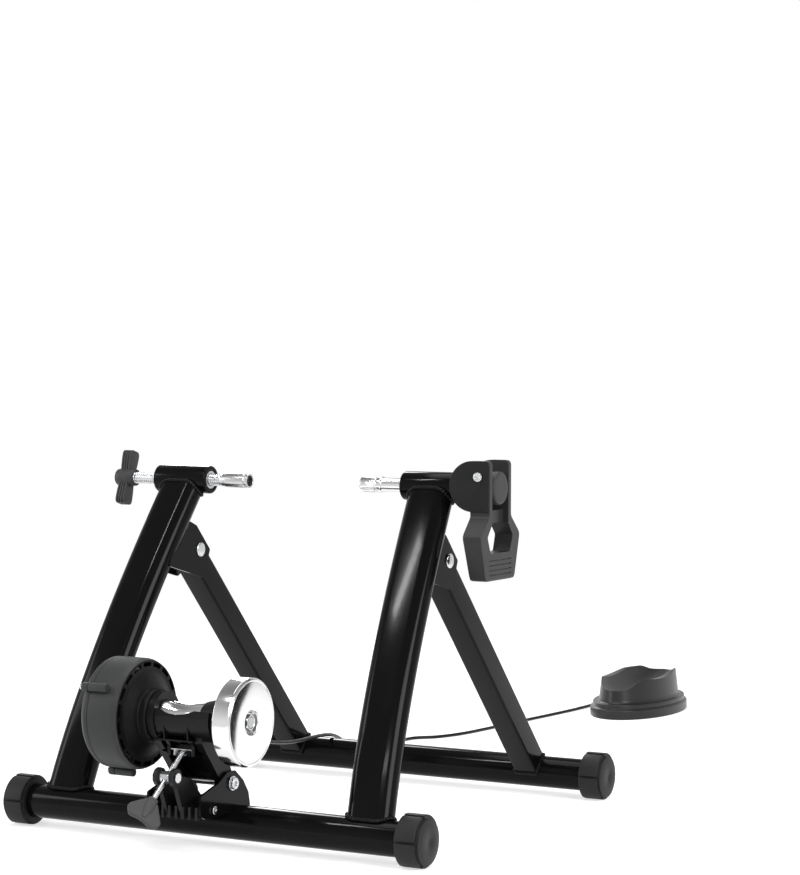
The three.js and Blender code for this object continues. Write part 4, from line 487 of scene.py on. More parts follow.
def preset(node: bpy.types.Node, values: dict) -> bpy.types.Node:
    """Sets a node's inputs by name, and gives the node back."""
    for label, value in values.items():
        node.inputs[label].default_value = value
    return node


def node(tree: bpy.types.NodeTree, kind: str, values: dict | None = None, **settings) -> bpy.types.Node:
    """Adds a node to a tree.

    Args:
        tree: the tree.
        kind: the node's kind, without its leading ShaderNode.
        values: values of its inputs, by name or number.
        settings: values of its own settings, by name.

    Returns:
        The node.
    """
    made = tree.nodes.new(f"ShaderNode{kind}")
    for name, value in settings.items():
        setattr(made, name, value)
    return preset(made, values or {})


def wire(tree: bpy.types.NodeTree, *wires: tuple) -> None:
    """Joins a tree's nodes; each wire says node, output, next node, input."""
    for source, output, target, entry in wires:
        tree.links.new(source.outputs[output], target.inputs[entry])


class Effects:
    """Node groups that several finishes share; each puts out values that change over the surface."""

    def __init__(self) -> None:
        """Builds each group once."""
        self.grain = self._grain()
        self.scuffs = self._scuffs()
        self.rings = self._rings()

    @staticmethod
    def _start(name: str, inputs: dict, outputs: list) -> tuple:
        """A new group with named sockets.

        Args:
            name: the group's name.
            inputs: names of number inputs with their defaults; Vector is added first.
            outputs: names of number outputs.

        Returns:
            The tree, its input node and its output node.
        """
        tree = bpy.data.node_groups.new(name, "ShaderNodeTree")
        tree.interface.new_socket("Vector", in_out="INPUT", socket_type="NodeSocketVector")
        for label, value in inputs.items():
            made = tree.interface.new_socket(label, in_out="INPUT", socket_type="NodeSocketFloat")
            made.default_value = value
        for label in outputs:
            tree.interface.new_socket(label, in_out="OUTPUT", socket_type="NodeSocketFloat")
        return tree, tree.nodes.new("NodeGroupInput"), tree.nodes.new("NodeGroupOutput")

    def _grain(self) -> bpy.types.NodeTree:
        """Fine moulded or sprayed grain with a slow drift over the piece: Height, Tone."""
        tree, start, end = self._start("surface_grain", {"Scale": 400.0, "Drift": 12.0}, ["Height", "Tone"])
        fine = node(tree, "TexNoise", {"Detail": 4.0, "Roughness": 0.6})
        slow = node(tree, "TexNoise", {"Detail": 3.0})
        wire(tree, (start, "Vector", fine, "Vector"), (start, "Vector", slow, "Vector"),
             (start, "Scale", fine, "Scale"), (start, "Drift", slow, "Scale"),
             (fine, "Fac", end, "Height"), (slow, "Fac", end, "Tone"))
        return tree

    def _scuffs(self) -> bpy.types.NodeTree:
        """Sparse rubbed marks, drawn out along one direction: Mask."""
        tree, start, end = self._start("rubbed_marks", {"Scale": 60.0, "Spread": 0.62}, ["Mask"])
        stretch = node(tree, "Mapping", {"Scale": (1.0, 0.22, 0.35), "Rotation": (0.3, 0.5, 0.7)})
        noise = node(tree, "TexNoise", {"Detail": 5.0})
        over = node(tree, "Math", operation="SUBTRACT")
        gain = node(tree, "Math", {1: 9.0}, operation="MULTIPLY", use_clamp=True)
        wire(tree, (start, "Vector", stretch, "Vector"), (stretch, "Vector", noise, "Vector"),
             (start, "Scale", noise, "Scale"), (noise, "Fac", over, 0), (start, "Spread", over, 1),
             (over, 0, gain, 0), (gain, 0, end, "Mask"))
        return tree

    def _rings(self) -> bpy.types.NodeTree:
        """Turning lines round X: noise stretched along the circle, read along X and the radius: Height."""
        tree, start, end = self._start("turning_lines", {"Scale": 900.0}, ["Height"])
        split = node(tree, "SeparateXYZ")
        across, up = (node(tree, "Math", operation="MULTIPLY") for _ in range(2))
        total = node(tree, "Math", operation="ADD")
        root = node(tree, "Math", operation="SQRT")
        join = node(tree, "CombineXYZ")
        noise = node(tree, "TexNoise", {"Detail": 2.0})
        wire(tree, (start, "Vector", split, 0), (split, "Y", across, 0), (split, "Y", across, 1),
             (split, "Z", up, 0), (split, "Z", up, 1), (across, 0, total, 0), (up, 0, total, 1),
             (total, 0, root, 0), (split, "X", join, "X"), (root, 0, join, "Y"), (join, 0, noise, "Vector"),
             (start, "Scale", noise, "Scale"), (noise, "Fac", end, "Height"))
        return tree


@dataclass(frozen=True)
class Finish:
    """What a surface is made of and how it was worked."""

    name: str
    slot: str
    colour: tuple
    roughness: float
    pattern: Pattern = Pattern.MOULDED
    metallic: float = 0.0
    specular: float = 0.5
    coat: float = 0.0
    coat_roughness: float = 0.1
    grain: float = 500.0
    bump: float = 0.2
    relief: float = 0.0002
    swing: float = 0.06
    mottle: float = 0.12
    scuff: float = 0.0

    def material(self, effects: Effects) -> bpy.types.Material:
        """Builds the material, or gives the one built before.

        Args:
            effects: the shared node groups.

        Returns:
            The material.
        """
        known = bpy.data.materials.get(self.name)
        if known is not None:
            return known
        made = bpy.data.materials.new(self.name)
        made.use_nodes = True
        tree = made.node_tree
        shader = preset(tree.nodes["Principled BSDF"], {
            "Metallic": self.metallic, "Specular IOR Level": self.specular,
            "Coat Weight": self.coat, "Coat Roughness": self.coat_roughness,
        })
        place = node(tree, "TexCoord")
        grain = node(tree, "Group", {"Scale": self.grain}, node_tree=effects.grain)
        lines = grain
        if self.pattern is Pattern.TURNED:
            lines = node(tree, "Group", {"Scale": self.grain}, node_tree=effects.rings)
            wire(tree, (place, "Object", lines, "Vector"))
        self._colour(effects, tree, shader, place, grain)
        low, high = max(self.roughness - self.swing, SMOOTHEST), min(self.roughness + self.swing, 1.0)
        rough = node(tree, "MapRange", {
            "From Min": TONE_LOW, "From Max": TONE_HIGH, "To Min": low, "To Max": high,
        })
        bump = node(tree, "Bump", {"Strength": self.bump, "Distance": self.relief})
        wire(tree, (place, "Object", grain, "Vector"), (grain, "Tone", rough, "Value"),
             (rough, "Result", shader, "Roughness"), (lines, "Height", bump, "Height"),
             (bump, "Normal", shader, "Normal"))
        return made

    def _colour(self, effects: Effects, tree, shader, place, grain) -> None:
        """Joins the colour, its slow mottling and its rubbed marks to the shader."""
        base = np.asarray(self.colour)
        tone = node(tree, "Mix", data_type="RGBA", values={
            "A": (*(base * (1 - self.mottle)), 1.0), "B": (*np.clip(base * (1 + self.mottle), 0, 1), 1.0),
        })
        wire(tree, (grain, "Tone", tone, "Factor"))
        last = tone
        if self.scuff > 0:
            marks = node(tree, "Group", node_tree=effects.scuffs)
            amount = node(tree, "Math", {1: self.scuff}, operation="MULTIPLY")
            light = (*np.clip(base * WORN_GAIN + WORN_LIFT, 0, 1), 1.0)
            last = node(tree, "Mix", data_type="RGBA", values={"B": light})
            wire(tree, (place, "Object", marks, "Vector"), (marks, "Mask", amount, 0),
                 (amount, 0, last, "Factor"), (tone, "Result", last, "A"))
        wire(tree, (last, "Result", shader, "Base Color"))


def grey(level: float, warm: float = 0.0) -> tuple:
    """A linear colour from an sRGB level of 0 to 255, a little warmer or cooler."""
    share = level / 255
    linear = share / 12.92 if share <= 0.04045 else ((share + 0.055) / 1.055) ** 2.4
    return (linear * (1 + warm), linear, linear * (1 - warm))


PAINT = Finish("black_gloss_paint", "black_paint", grey(11), 0.13, Pattern.PAINTED, specular=0.07,
               coat=0.04, coat_roughness=0.06, grain=260, bump=0.06, relief=0.0003, swing=0.03, scuff=0.04)
WELD = Finish("painted_weld", "black_paint", grey(11), 0.24, Pattern.PAINTED, specular=0.09, coat=0.05,
              coat_roughness=0.12, grain=700, bump=0.3, relief=0.0004)
GLOSS_BLACK = Finish("black_moulding", "black_plastic", grey(16), 0.33, specular=0.16, grain=900,
                     bump=0.12, swing=0.05)
BASE_BLACK = Finish("black_base_moulding", "black_plastic", grey(20), 0.42, specular=0.2, grain=1100)
DRUM_GREY = Finish("drum_shell_grey", "drum_plastic", grey(46, -0.03), 0.46, specular=0.24, grain=1400,
                   bump=0.22)
DRUM_FACE = Finish("drum_face_black", "drum_plastic", grey(13), 0.45, specular=0.12, grain=1400)
LEVER_GREY = Finish("lever_grey", "lever_plastic", grey(42), 0.36, specular=0.24, grain=1500)
PLATE_GREY = Finish("side_plate_dark", "lever_plastic", grey(24), 0.44, specular=0.16, grain=1500)
KNOB_GREY = Finish("knob_grey", "grey_plastic", grey(50), 0.46, specular=0.24, grain=1500, bump=0.22)
WING_GREY = Finish("wing_knob_grey", "grey_plastic", grey(66), 0.6, specular=0.25, grain=1500, bump=0.3)
RUBBER = Finish("black_rubber", "foot_rubber", grey(25), 0.55, Pattern.RUBBER, specular=0.24, grain=1600,
                bump=0.35, scuff=0.1)
RISER_GREY = Finish("riser_grey", "grey_plastic", grey(34), 0.32, specular=0.3, grain=1300, bump=0.22)
CABLE = Finish("cable_black", "cable_jacket", grey(14), 0.34, specular=0.22, grain=900, bump=0.1)
ZINC = Finish("bright_zinc", "zinc", grey(205, -0.02), 0.24, Pattern.PLATED, metallic=1.0, grain=700,
              bump=0.08, mottle=0.06, swing=0.07)
STEEL = Finish("turned_steel", "steel", grey(190), 0.28, Pattern.TURNED, metallic=1.0, grain=1400,
               mottle=0.05)
POLISHED = Finish("bright_turned_steel", "polished_steel", grey(222), 0.13, Pattern.TURNED, metallic=1.0,
                  grain=1100, bump=0.08, mottle=0.04, swing=0.04)
CHROME = Finish("mirror_chrome", "flywheel_chrome", grey(224), 0.12, Pattern.TURNED, metallic=1.0,
                grain=800, bump=0.03, mottle=0.02, swing=0.02)
ALUMINIUM = Finish("turned_aluminium", "rotor_aluminium", grey(170), 0.36, Pattern.TURNED, metallic=1.0,
                   grain=1200, mottle=0.06)
MAGNET = Finish("nickel_plated_iron", "magnet_iron", grey(92), 0.45, Pattern.PLATED, metallic=0.7,
                grain=600, bump=0.15)


# The stand: places shared by all pieces


@dataclass
class Stand:
    """The drawing frame and the sizes that several sub-assemblies share, in millimetres."""

    frame: dict
    effects: Effects
    rear_tube_y: float = -199.5
    front_tube_y: float = 268.0
    tube_radius: float = 19.0
    tube_wall: float = 2.0
    tube_z: float = 27.5
    half_width: float = 268.0
    foot_wall: float = 5.0
    axle_z: float = 388.5
    head_radius: float = 16.5
    head_inner_x: float = 131.0
    head_outer_x: float = 203.0
    pivot_z: float = 305.0
    shaft_y: float = -248.0
    shaft_z: float = 145.5
    cable_x: float = -80.0
    cable_z: float = 121.0
    clearance: float = 0.3
    shift: Points = field(default_factory=lambda: np.zeros(3))

    def __post_init__(self) -> None:
        """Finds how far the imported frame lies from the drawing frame, from the rear tube."""
        low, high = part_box("rear_tube")
        middle = (np.asarray(low) + np.asarray(high)) / (2 * MM)
        self.shift = np.array([0.0, middle[1] - self.rear_tube_y, middle[2] - self.tube_z])

    def shaft_axis(self) -> Axis:
        """The line of the shaft that the roller, the flywheel and the drum share."""
        return Axis((0, self.shaft_y, self.shaft_z))

    def metres(self, points: Points) -> Points:
        """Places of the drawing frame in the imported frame, in metres."""
        return (np.asarray(points, dtype=float) + self.shift) * MM

    def add(
        self, name: str, mesh: bpy.types.Mesh, finish: Finish, body: str, replaces=(), smooth: float = 32,
    ) -> Piece:
        """Links a mesh as a piece of the model that rides on a body.

        Args:
            name: the piece's name.
            mesh: its mesh, in metres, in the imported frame.
            finish: what it is made of.
            body: the body that it moves with.
            replaces: nodes that it stands for.
            smooth: edges sharper than this angle, in degrees, stay sharp.

        Returns:
            The new object.
        """
        piece = placed(name, mesh)
        piece.data.materials.clear()
        piece.data.materials.append(finish.material(self.effects))
        sharpened(piece, smooth)
        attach(piece, body)
        if replaces:
            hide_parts(*replaces)
        LOG.info("%s rides on %s, %d faces", name, body, len(piece.data.polygons))
        return piece

    def dress(self, node: str, finish: Finish) -> None:
        """Gives a node that stays its material."""
        piece = self.frame["nodes"][node]
        piece.data.materials.clear()
        piece.data.materials.append(finish.material(self.effects))
        LOG.info("%s keeps its solid", node)

    def polished(
        self, node: str, finish: Finish, body: str, edge: float = 0.4, smooth: float = 34,
    ) -> Piece:
        """A merged copy of a node's solid with rounded edges, which stands for it.

        Args:
            node: the node's name.
            finish: what it is made of.
            body: the body that it moves with.
            edge: width of the rounded edges.
            smooth: edges sharper than this angle, in degrees, are rounded.

        Returns:
            The new object.
        """
        mesh = self.frame["nodes"][node].data.copy()
        work = bmesh.new()
        work.from_mesh(mesh)
        bmesh.ops.remove_doubles(work, verts=work.verts[:], dist=SOLID_MERGE)
        flat = math.radians(FLAT_DEGREES)
        bmesh.ops.dissolve_limit(work, angle_limit=flat, verts=work.verts[:], edges=work.edges[:])
        work.to_mesh(mesh)
        work.free()
        piece = self.add(f"{node}_finished", mesh, finish, body, (node,), smooth)
        softened(piece, edge, smooth, segments=2)
        return piece


# Sub-assemblies


def tube_reach(places: Points, way: Points, tube: tuple, radius: float) -> Points:
    """How far along way each place P meets a round tube that runs along X.

    It is the larger t with |(P + t way) - tube| = radius in the YZ plane.

    Args:
        places: the places.
        way: one direction for all, or one for each.
        tube: the tube's (y, z).
        radius: the radius to meet.

    Returns:
        The distance for each place, in lengths of way.
    """
    off = places[:, 1:] - np.asarray(tube)
    way = np.broadcast_to(way, places.shape)[:, 1:]
    a = np.sum(way**2, axis=1)
    b = np.sum(off * way, axis=1)
    c = np.sum(off**2, axis=1) - radius**2
    return (-b + np.sqrt(np.maximum(b * b - a * c, 0))) / a


def evened(loop: Points, count: int) -> Points:
    """A closed line of points, resampled to equal steps along its length."""
    closed = np.concatenate([loop, loop[:1]])
    reach = np.concatenate([[0], np.cumsum(np.linalg.norm(np.diff(closed, axis=0), axis=1))])
    wanted = np.linspace(0, reach[-1], count, endpoint=False)
    return np.stack([np.interp(wanted, reach, closed[:, k]) for k in range(3)], axis=1)


@dataclass
class Weld:
    """A weld bead where a bar meets a round tube that runs along X."""

    stand: Stand
    bead: float = 2.3
    ripple: float = 0.16
    pitch: float = 3.4
    sink: float = 0.6
    steps: int = 360
    round_steps: int = 10

    def add(
        self, name: str, outline: Points, start: tuple, way: tuple, tube: tuple, radius: float,
        side: Side, body: str,
    ) -> Piece:
        """Lays the bead along the line where the bar's outline, carried along way, meets the tube.

        The bead is a small circle carried along that line, its size 1 + ripple sin(length / pitch).

        Args:
            name: the piece's name.
            outline: the bar's section, (x, across) from its middle.
            start: a place on the bar's middle line.
            way: the bar's direction, away from the tube.
            tube: the tube's (y, z).
            radius: the tube's radius.
            side: which side of the stand.
            body: the body that it moves with.

        Returns:
            The new object.
        """
        way = unit(np.asarray(way, dtype=float))
        wide = unit(np.array([1.0, 0, 0]) - way[0] * way)
        deep = np.cross(way, wide)
        base = np.asarray(start) + outline[:, :1] * wide + outline[:, 1:] * deep
        reach = tube_reach(base, way, tube, radius + self.bead - self.sink)
        line = evened(base + reach[:, None] * way, self.steps)
        length = np.sum(np.linalg.norm(np.diff(line, axis=0, append=line[:1]), axis=1))
        waves = round(length / self.pitch)
        scale = 1 + self.ripple * np.sin(FULL * waves * np.arange(self.steps) / self.steps)
        normal = unit((line - [0, *tube]) * [0, 1, 1])
        bead = carried(ring(self.bead, self.round_steps), line, normal, closed=True, scale=scale)
        shape = Shape(self.stand).grid(bead, wrap_u=True).mirrored(side)
        return shape.build(name, WELD, body, smooth=180)


@dataclass
class BaseTubes:
    """The two tubes on the floor and the uprights that rise from the rear one."""

    stand: Stand
    width: float = 54.0
    depth: float = 29.0
    wall: float = 2.0
    base_x: float = 196.0
    top_x: float = 166.5
    bend: tuple = (185.6, -154.7, 167.5)
    lip: float = 0.5
    spread: float = 0.01
    steps: int = 72
    round_steps: int = 20

    def path(self, steps: int) -> Points:
        """The upright's middle line: (1-t)^2 base + 2t(1-t) bend + t^2 top."""
        s = self.stand
        t = np.linspace(0, 1, steps + 1)[:, None]
        base = np.array([self.base_x, s.rear_tube_y, s.tube_z])
        top = np.array([self.top_x, 0, s.axle_z])
        return (1 - t) ** 2 * base + 2 * t * (1 - t) * np.array(self.bend) + t**2 * top

    def tube(self, name: str, y: float, body: str) -> None:
        """A round tube along X with open ends and softened lips."""
        s = self.stand
        half = s.half_width - s.foot_wall - s.clearance
        outer, inner = s.tube_radius, s.tube_radius - s.tube_wall
        corners = [[-half, outer], [half, outer], [half, inner], [-half, inner]]
        profile = rounded(corners, self.lip, closed=True)
        shape = Shape(s).lathe(profile, Axis((0, y, s.tube_z)), self.steps, closed=True)
        shape.build(f"{name}_painted", PAINT, body, (name,))

    def upright(self, side: Side) -> None:
        """A flat-sided bent tube, open at both ends, that is trimmed to the round tubes it meets."""
        s = self.stand
        path = self.path(self.steps)
        outline = stadium(self.width, self.depth, self.round_steps)
        inside = stadium(self.width - 2 * self.wall, self.depth - 2 * self.wall, self.round_steps)
        outer = self.trimmed(carried(outline, path, (1, 0, 0)))
        inner = self.trimmed(carried(inside, path, (1, 0, 0)))
        name = f"{side.name.lower()}_upright"
        Shape(s).tube(outer, inner).mirrored(side).build(f"{name}_painted", PAINT, "rear_stand", (name,))
        weld = Weld(s)
        tube, head = (s.rear_tube_y, s.tube_z), (0.0, s.axle_z)
        weld.add(f"{name}_lower_weld", outline, path[0], path[1] - path[0], tube, s.tube_radius, side,
                 "rear_stand")
        weld.add(f"{name}_upper_weld", outline, path[-1], path[-2] - path[-1], head, s.head_radius, side,
                 "rear_stand")

    def trimmed(self, sweep: Points) -> Points:
        """Slides each lengthwise line's first and last places out to the tubes that the bar meets.

        A place nearer than the tube's radius plus a clearance to the tube's axis is moved along the
        line's end direction until it lies on that radius, and a little further for each row.
        """
        s = self.stand
        trimmed = sweep.copy()
        ends = ((0, 1, s.rear_tube_y, s.tube_z, s.tube_radius), (-1, -2, 0.0, s.axle_z, s.head_radius))
        for first, second, y, z, radius in ends:
            way = unit(sweep[second] - sweep[first])
            reach = tube_reach(sweep[first], way, (y, z), radius + s.clearance)
            rows = range(len(sweep)) if first == 0 else range(len(sweep) - 1, -1, -1)
            for step, row in enumerate(rows):
                along = np.sum((sweep[row] - sweep[first]) * way, axis=1)
                short = along < reach
                if not short.any():
                    break
                place = sweep[first] + (reach + self.spread * step)[:, None] * way
                trimmed[row][short] = place[short]
        return trimmed

    def build(self) -> None:
        """Makes both tubes, both uprights and their welds."""
        self.tube("rear_tube", self.stand.rear_tube_y, "rear_stand")
        self.tube("front_tube", self.stand.front_tube_y, "front_legs")
        for side in Side:
            self.upright(side)


@dataclass
class Legs:
    """The front legs with their welds, shoes, brackets and pivot rivets."""

    stand: Stand
    side_length: float = 30.0
    corner: float = 3.2
    wall: float = 2.0
    x: float = 166.75
    top_reach: float = 24.0
    head_radius: float = 8.5
    head_thickness: float = 3.0
    pin_radius: float = 5.0
    head_offset: float = 20.5
    head_land_share: float = 0.35
    steps: int = 60

    def axes(self) -> tuple:
        """The pivot's place, the way down the leg, and the leg's length to the front tube."""
        s = self.stand
        top = np.array([self.x, 0, s.pivot_z])
        foot = np.array([self.x, s.front_tube_y, s.tube_z])
        return top, unit(foot - top), np.linalg.norm(foot - top)

    def section(self, half: float, corner: float) -> Points:
        """A square outline with rounded corners."""
        return rounded([[-half, -half], [half, -half], [half, half], [-half, half]], corner, 6, closed=True)

    def leg(self, side: Side) -> None:
        """A square tube, open at the top and saddled onto the front tube."""
        s = self.stand
        top, way, length = self.axes()
        half = self.side_length / 2
        end = s.tube_radius + s.clearance
        path = top + np.linspace(-self.top_reach, length, self.steps)[:, None] * way
        outer = carried(self.section(half, self.corner), path, (1, 0, 0))
        inner = carried(self.section(half - self.wall, self.corner - self.wall / 2), path, (1, 0, 0))
        name = f"{side.name.lower()}_leg"
        shape = Shape(s).tube(self.saddled(outer, way, end), self.saddled(inner, way, end))
        shape.mirrored(side).build(f"{name}_painted", PAINT, "front_legs", (name,))
        tube = (s.front_tube_y, s.tube_z)
        Weld(s).add(f"{name}_weld", self.section(half, self.corner), tuple(path[-1]), tuple(-way), tube,
                    s.tube_radius, side, "front_legs")

    def saddled(self, sweep: Points, way: Points, radius: float) -> Points:
        """Draws each lengthwise line's places back along the leg until none lies inside the front tube."""
        reach = tube_reach(sweep[-1], -way, (self.stand.front_tube_y, self.stand.tube_z), radius)
        along = np.sum((sweep - sweep[-1][None]) * -way, axis=2)
        short = np.maximum(reach[None] - along, 0)
        return sweep - short[..., None] * way

    def rivet(self, side: Side) -> None:
        """A rivet through bracket, shoe and leg, with domed heads."""
        s = self.stand
        off, rise = self.head_offset, self.head_thickness
        dome = np.linspace(0, math.pi / 2, 9)
        swell = self.head_land_share + (1 - self.head_land_share) * np.sin(dome)
        head = np.stack([off + rise * swell, self.head_radius * np.cos(dome)], axis=1)
        profile = np.concatenate([
            [[-h[0], h[1]] for h in head[::-1]], [[-off, self.head_radius]], [[-off, self.pin_radius]],
            [[off, self.pin_radius]], [[off, self.head_radius]], head,
        ])
        name = f"{side.name.lower()}_pivot_pin"
        shape = Shape(s).lathe(profile, Axis((self.x, 0, s.pivot_z)), steps=40).mirrored(side)
        shape.build(f"{name}_plated", ZINC, "rear_stand", (name,))

    def build(self) -> None:
        """Makes both legs and what joins them to the uprights."""
        for side in Side:
            word = side.name.lower()
            self.leg(side)
            self.rivet(side)
            self.stand.polished(f"{word}_leg_shoe", PAINT, "front_legs", 0.5)
            self.stand.polished(f"{word}_pivot_bracket", PAINT, "rear_stand", 0.5)


@dataclass
class Feet:
    """Rubber caps with five pads, each standing a little prouder than the last."""

    stand: Stand
    length: float = 29.5
    core_radius: float = 25.0
    pad_radius: float = 27.5
    pad_step: float = 0.5
    pad_count: int = 5
    pad_groove: float = 2.4
    pad_inset: float = 1.2
    rim_groove: float = 1.4
    dome_rise: float = 1.5
    face_radius: float = 24.5
    dome_share: float = 0.6
    phase: float = math.radians(-78)
    rim: float = 1.3
    core_inset: float = 0.4
    groove_slope: float = 0.6
    groove_share: float = 0.7
    groove_depth: float = 1.7
    lip: float = 0.5
    lip_rise: float = 0.2
    dimple_radius: float = 4.0
    dimple_slope: float = 0.6
    pad_corner: float = 0.6
    pad_steps: int = 26
    steps: int = 100

    def foot(self, name: str, side: Side, y: float, body: str) -> None:
        """One foot: a turned core with a domed face and a bore, and pads round it."""
        s = self.stand
        axis = Axis((s.half_width - self.length, y, s.tube_z))
        face = self.length - self.dome_rise
        bore = s.tube_radius + s.clearance
        blind = self.length - s.foot_wall
        dome = np.linspace(0, 1, 7)
        crown = np.stack([
            face + self.dome_rise * np.sin(dome * math.pi / 2),
            self.face_radius * (1 - dome * (1 - self.dome_share)),
        ], axis=1)
        core, groove = self.core_radius - self.core_inset, self.core_radius - self.groove_depth
        body_line = rounded([
            [0, bore], [0, core], [face - self.rim_groove - self.groove_slope, core],
            [face - self.rim_groove * self.groove_share, groove], [face - self.lip, groove],
            [face - self.lip_rise, self.face_radius],
        ], self.lip)
        dimple, edge = self.length - self.lip, self.dimple_radius
        centre = [[self.length, edge], [dimple, edge - self.dimple_slope], [dimple, 0]]
        profile = np.concatenate([[[blind, 0], [blind, bore]], body_line, crown, centre])
        shape = Shape(s).lathe(profile, axis, self.steps)
        share = FULL / self.pad_count
        for k in range(self.pad_count):
            radius = self.pad_radius + self.pad_step * k
            half = share / 2 - self.pad_groove / (2 * self.pad_radius)
            middle = self.phase - share * k
            outer = ring(radius, self.pad_steps, middle - half, middle + half)
            inner = ring(self.core_radius - 2 * self.pad_inset, self.pad_steps, middle - half, middle + half)
            outline = rounded([*outer, *inner[::-1]], self.pad_corner, 1, closed=True)
            end = face - self.rim_groove - self.pad_inset
            shape.plate(outline, self.pad_inset, end, self.rim, axis, steps=4)
        shape.mirrored(side).build(f"{name}_rubber", RUBBER, body, (name,), smooth=40)

    def build(self) -> None:
        """Makes the four feet."""
        s = self.stand
        for side in Side:
            word = side.name.lower()
            self.foot(f"rear_{word}_foot", side, s.rear_tube_y, f"rear_{word}_foot")
            self.foot(f"front_{word}_foot", side, s.front_tube_y, f"front_{word}_foot")


@dataclass(frozen=True)
class SocketHead:
    """A round bolt head with a six-sided socket in it."""

    radius: float
    height: float
    socket: float
    depth: float
    rim_share: float = 0.3
    mouth_share: float = 1.16
    corner_share: float = 1.1
    flat_share: float = 0.95
    chamfer: float = 0.25
    dip: float = 0.5
    steps: int = 48

    def shape(self, stand: Stand, axis: Axis) -> Shape:
        """The head: a profile over the rim, and a six-sided one down into the socket."""
        mouth, corner = self.socket * self.mouth_share, self.socket * self.corner_share
        top, floor = self.height, self.height - self.depth
        outer = rounded([[0, 0], [0, self.radius], [top, self.radius], [top, mouth]], top * self.rim_share)
        inner = np.array([
            [top, mouth], [top - self.chamfer, corner], [floor, corner], [floor - self.dip, 0.0],
        ])
        shape = Shape(stand).lathe(np.concatenate([outer[:-1], inner[:1]]), axis, self.steps)
        hexed = turned(inner[1:], axis, self.steps, hexagon(self.socket * self.flat_share))
        rim = turned(inner[:1], axis, self.steps)
        return shape.grid(np.concatenate([rim, hexed]))


